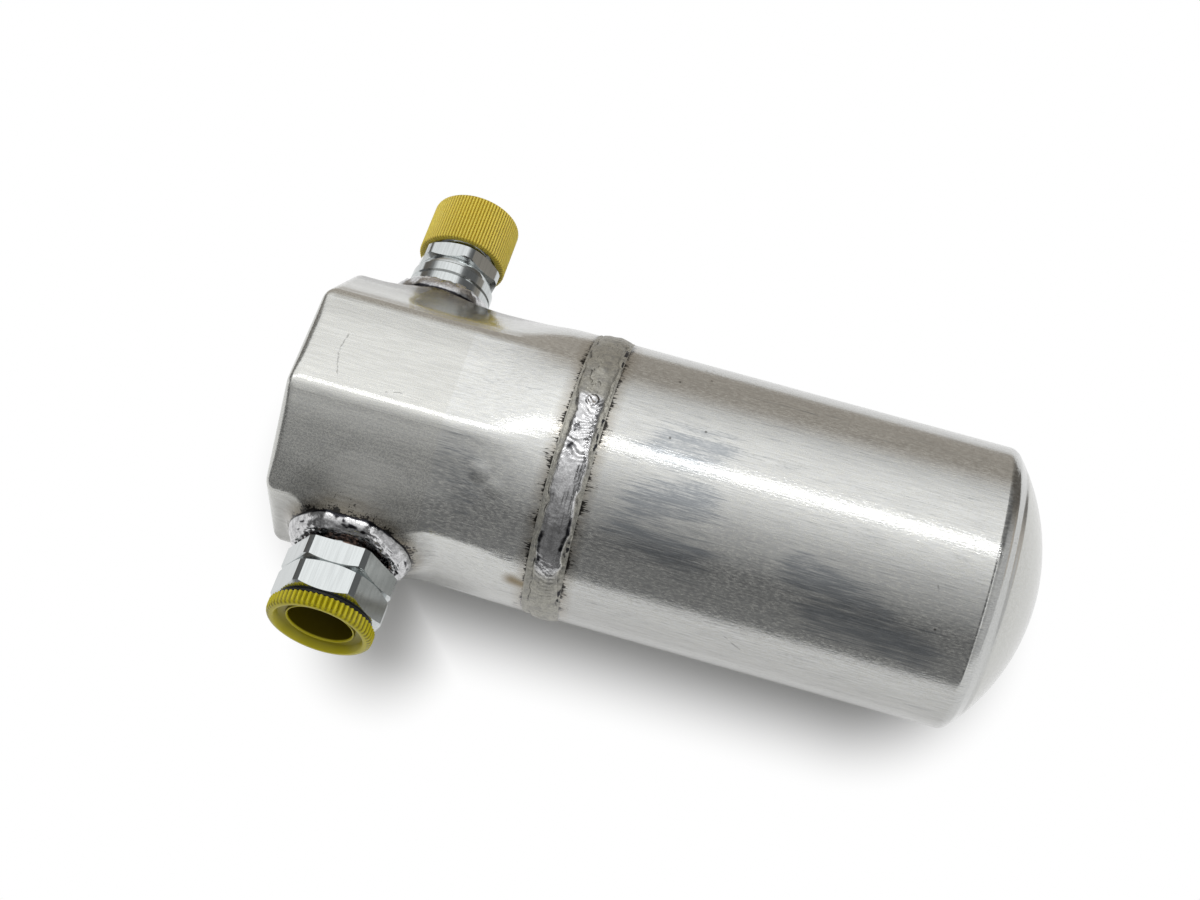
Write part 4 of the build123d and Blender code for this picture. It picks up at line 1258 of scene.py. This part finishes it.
shown = add(tree, "Math", {0: seen["Is Camera Ray"], 1: seen["Is Glossy Ray"]},
            operation="MAXIMUM")
shown = add(tree, "Math", {0: shown, 1: seen["Is Transmission Ray"]}, operation="MAXIMUM")
fade = add(tree, "Math", {0: fade, 1: shown}, operation="MULTIPLY")
white = add(tree, "Emission", {"Color": (1, 1, 1, 1), "Strength": 1.0})
mixed = add(tree, "MixShader", {0: fade, 1: paper, 2: white})
add(tree, "OutputMaterial", {"Surface": mixed})
floor.data.materials.append(board)


# The light: a bright wall of windows behind the inlet, a dim room behind the outlet and
# a brown bench below. Levels go by the angle round the can's axis: 0 is level on the
# inlet's side, 90 is overhead and 180 is level on the outlet's side.

BENCH = "f7ede0"
ROOM = ((-5, 0.5), (20, 1.1), (38, 1.4), (72, 1.35), (100, 0.7), (138, 0.18), (172, 0.24))
ENDS = ((0.3, 0.14), (0.5, 0.14), (0.57, 1.4), (0.66, 1.4), (0.73, 0.5), (0.95, 0.7))
LOW_ENDS = ((0.3, 0.3), (0.45, 0.16), (0.76, 0.16), (0.9, 0.7))
HEAD_END_LATER = 0.42                   # the dark ends begin further out at the head's end
STRIP_ANGLE = radians(64)
STRIP_AWAY = 1.2
world = bpy.data.worlds.new("studio")
bpy.context.scene.world = world
world.use_nodes = True
sky = world.node_tree
sky.nodes.clear()
direction = add(sky, "TexCoord", output="Generated")
parts = add(sky, "SeparateXYZ", {"Vector": direction}).node.outputs
around = add(sky, "Math", {0: parts["Z"], 1: parts["Y"]}, operation="ARCTAN2")
around = add(sky, "Math", {0: around}, operation="DEGREES")
below = add(sky, "Math", {0: around, 1: -90.0}, operation="LESS_THAN")
around = add(sky, "Math", {0: below, 1: 360.0, 2: around}, operation="MULTIPLY_ADD")


def levels(value, stops):
    """Level that runs straight from stop to stop and stays the same beyond them."""
    level = stops[0][1]
    for (start, low), (end, high) in zip(stops, stops[1:]):
        rise = add(sky, "MapRange", {
            "Value": value, "From Min": start, "From Max": end, "To Min": 0.0,
            "To Max": high - low,
        })
        level = add(sky, "Math", {0: level, 1: rise}, operation="ADD")
    return level


behind = add(sky, "Math", {0: -HEAD_END_LATER, 1: parts["X"]}, operation="SUBTRACT")
endways = add(sky, "Math", {0: parts["X"], 1: behind}, operation="MAXIMUM")
overhead = add(sky, "MapRange", {"Value": around, "From Min": 50.0, "From Max": 80.0},
               interpolation_type="SMOOTHSTEP")
ends = add(sky, "Mix", {
    "Factor": overhead, "A": levels(endways, LOW_ENDS), "B": levels(endways, ENDS),
}, data_type="FLOAT")
at_ends = add(sky, "MapRange", {"Value": endways, "From Min": 0.2, "From Max": 0.34},
              interpolation_type="SMOOTHSTEP")
level = add(sky, "Mix", {"Factor": at_ends, "A": levels(around, ROOM), "B": ends},
            data_type="FLOAT")
hue = add(sky, "MapRange", {"Value": around, "From Min": -5.0, "From Max": 12.0})
hue = add(sky, "Mix", {"Factor": hue, "A": srgb(BENCH), "B": (1, 1, 1, 1)}, data_type="RGBA")
seen = add(sky, "LightPath", output="Is Camera Ray")
hue = add(sky, "Mix", {"Factor": seen, "A": hue, "B": (1, 1, 1, 1)}, data_type="RGBA")
level = add(sky, "Mix", {"Factor": seen, "A": level, "B": 1.0}, data_type="FLOAT")
add(sky, "OutputWorld", {"Surface": add(sky, "Background", {"Color": hue, "Strength": level})})

strip = bpy.data.lights.new("strip_light", "AREA")
strip.shape = "RECTANGLE"
strip.size, strip.size_y = 2.0, 0.04
strip.energy = 2.0
strip_lamp = bpy.data.objects.new("strip_light", strip)
bpy.context.scene.collection.objects.link(strip_lamp)
strip_lamp.location = (0, STRIP_AWAY * cos(STRIP_ANGLE), STRIP_AWAY * sin(STRIP_ANGLE))
strip_lamp.rotation_euler = (STRIP_ANGLE - pi / 2, 0, 0)


# The camera: nearly overhead and well above the part. From this place and turn, the can,
# the weld and both fittings lie where the photograph shows them.

CAMERA_PLACE = (-0.018628, -0.071991, 0.586138)
CAMERA_TURN = (8.83463319, 1.93437864, 15.91983499)
camera = bpy.data.objects.new("camera", bpy.data.cameras.new("camera"))
bpy.context.scene.collection.objects.link(camera)
camera.data.lens = 57.0
camera.data.sensor_width = 36.0
camera.location = CAMERA_PLACE
camera.rotation_euler = [radians(turn) for turn in CAMERA_TURN]
bpy.context.scene.camera = camera
bpy.context.scene.view_settings.view_transform = "Standard"
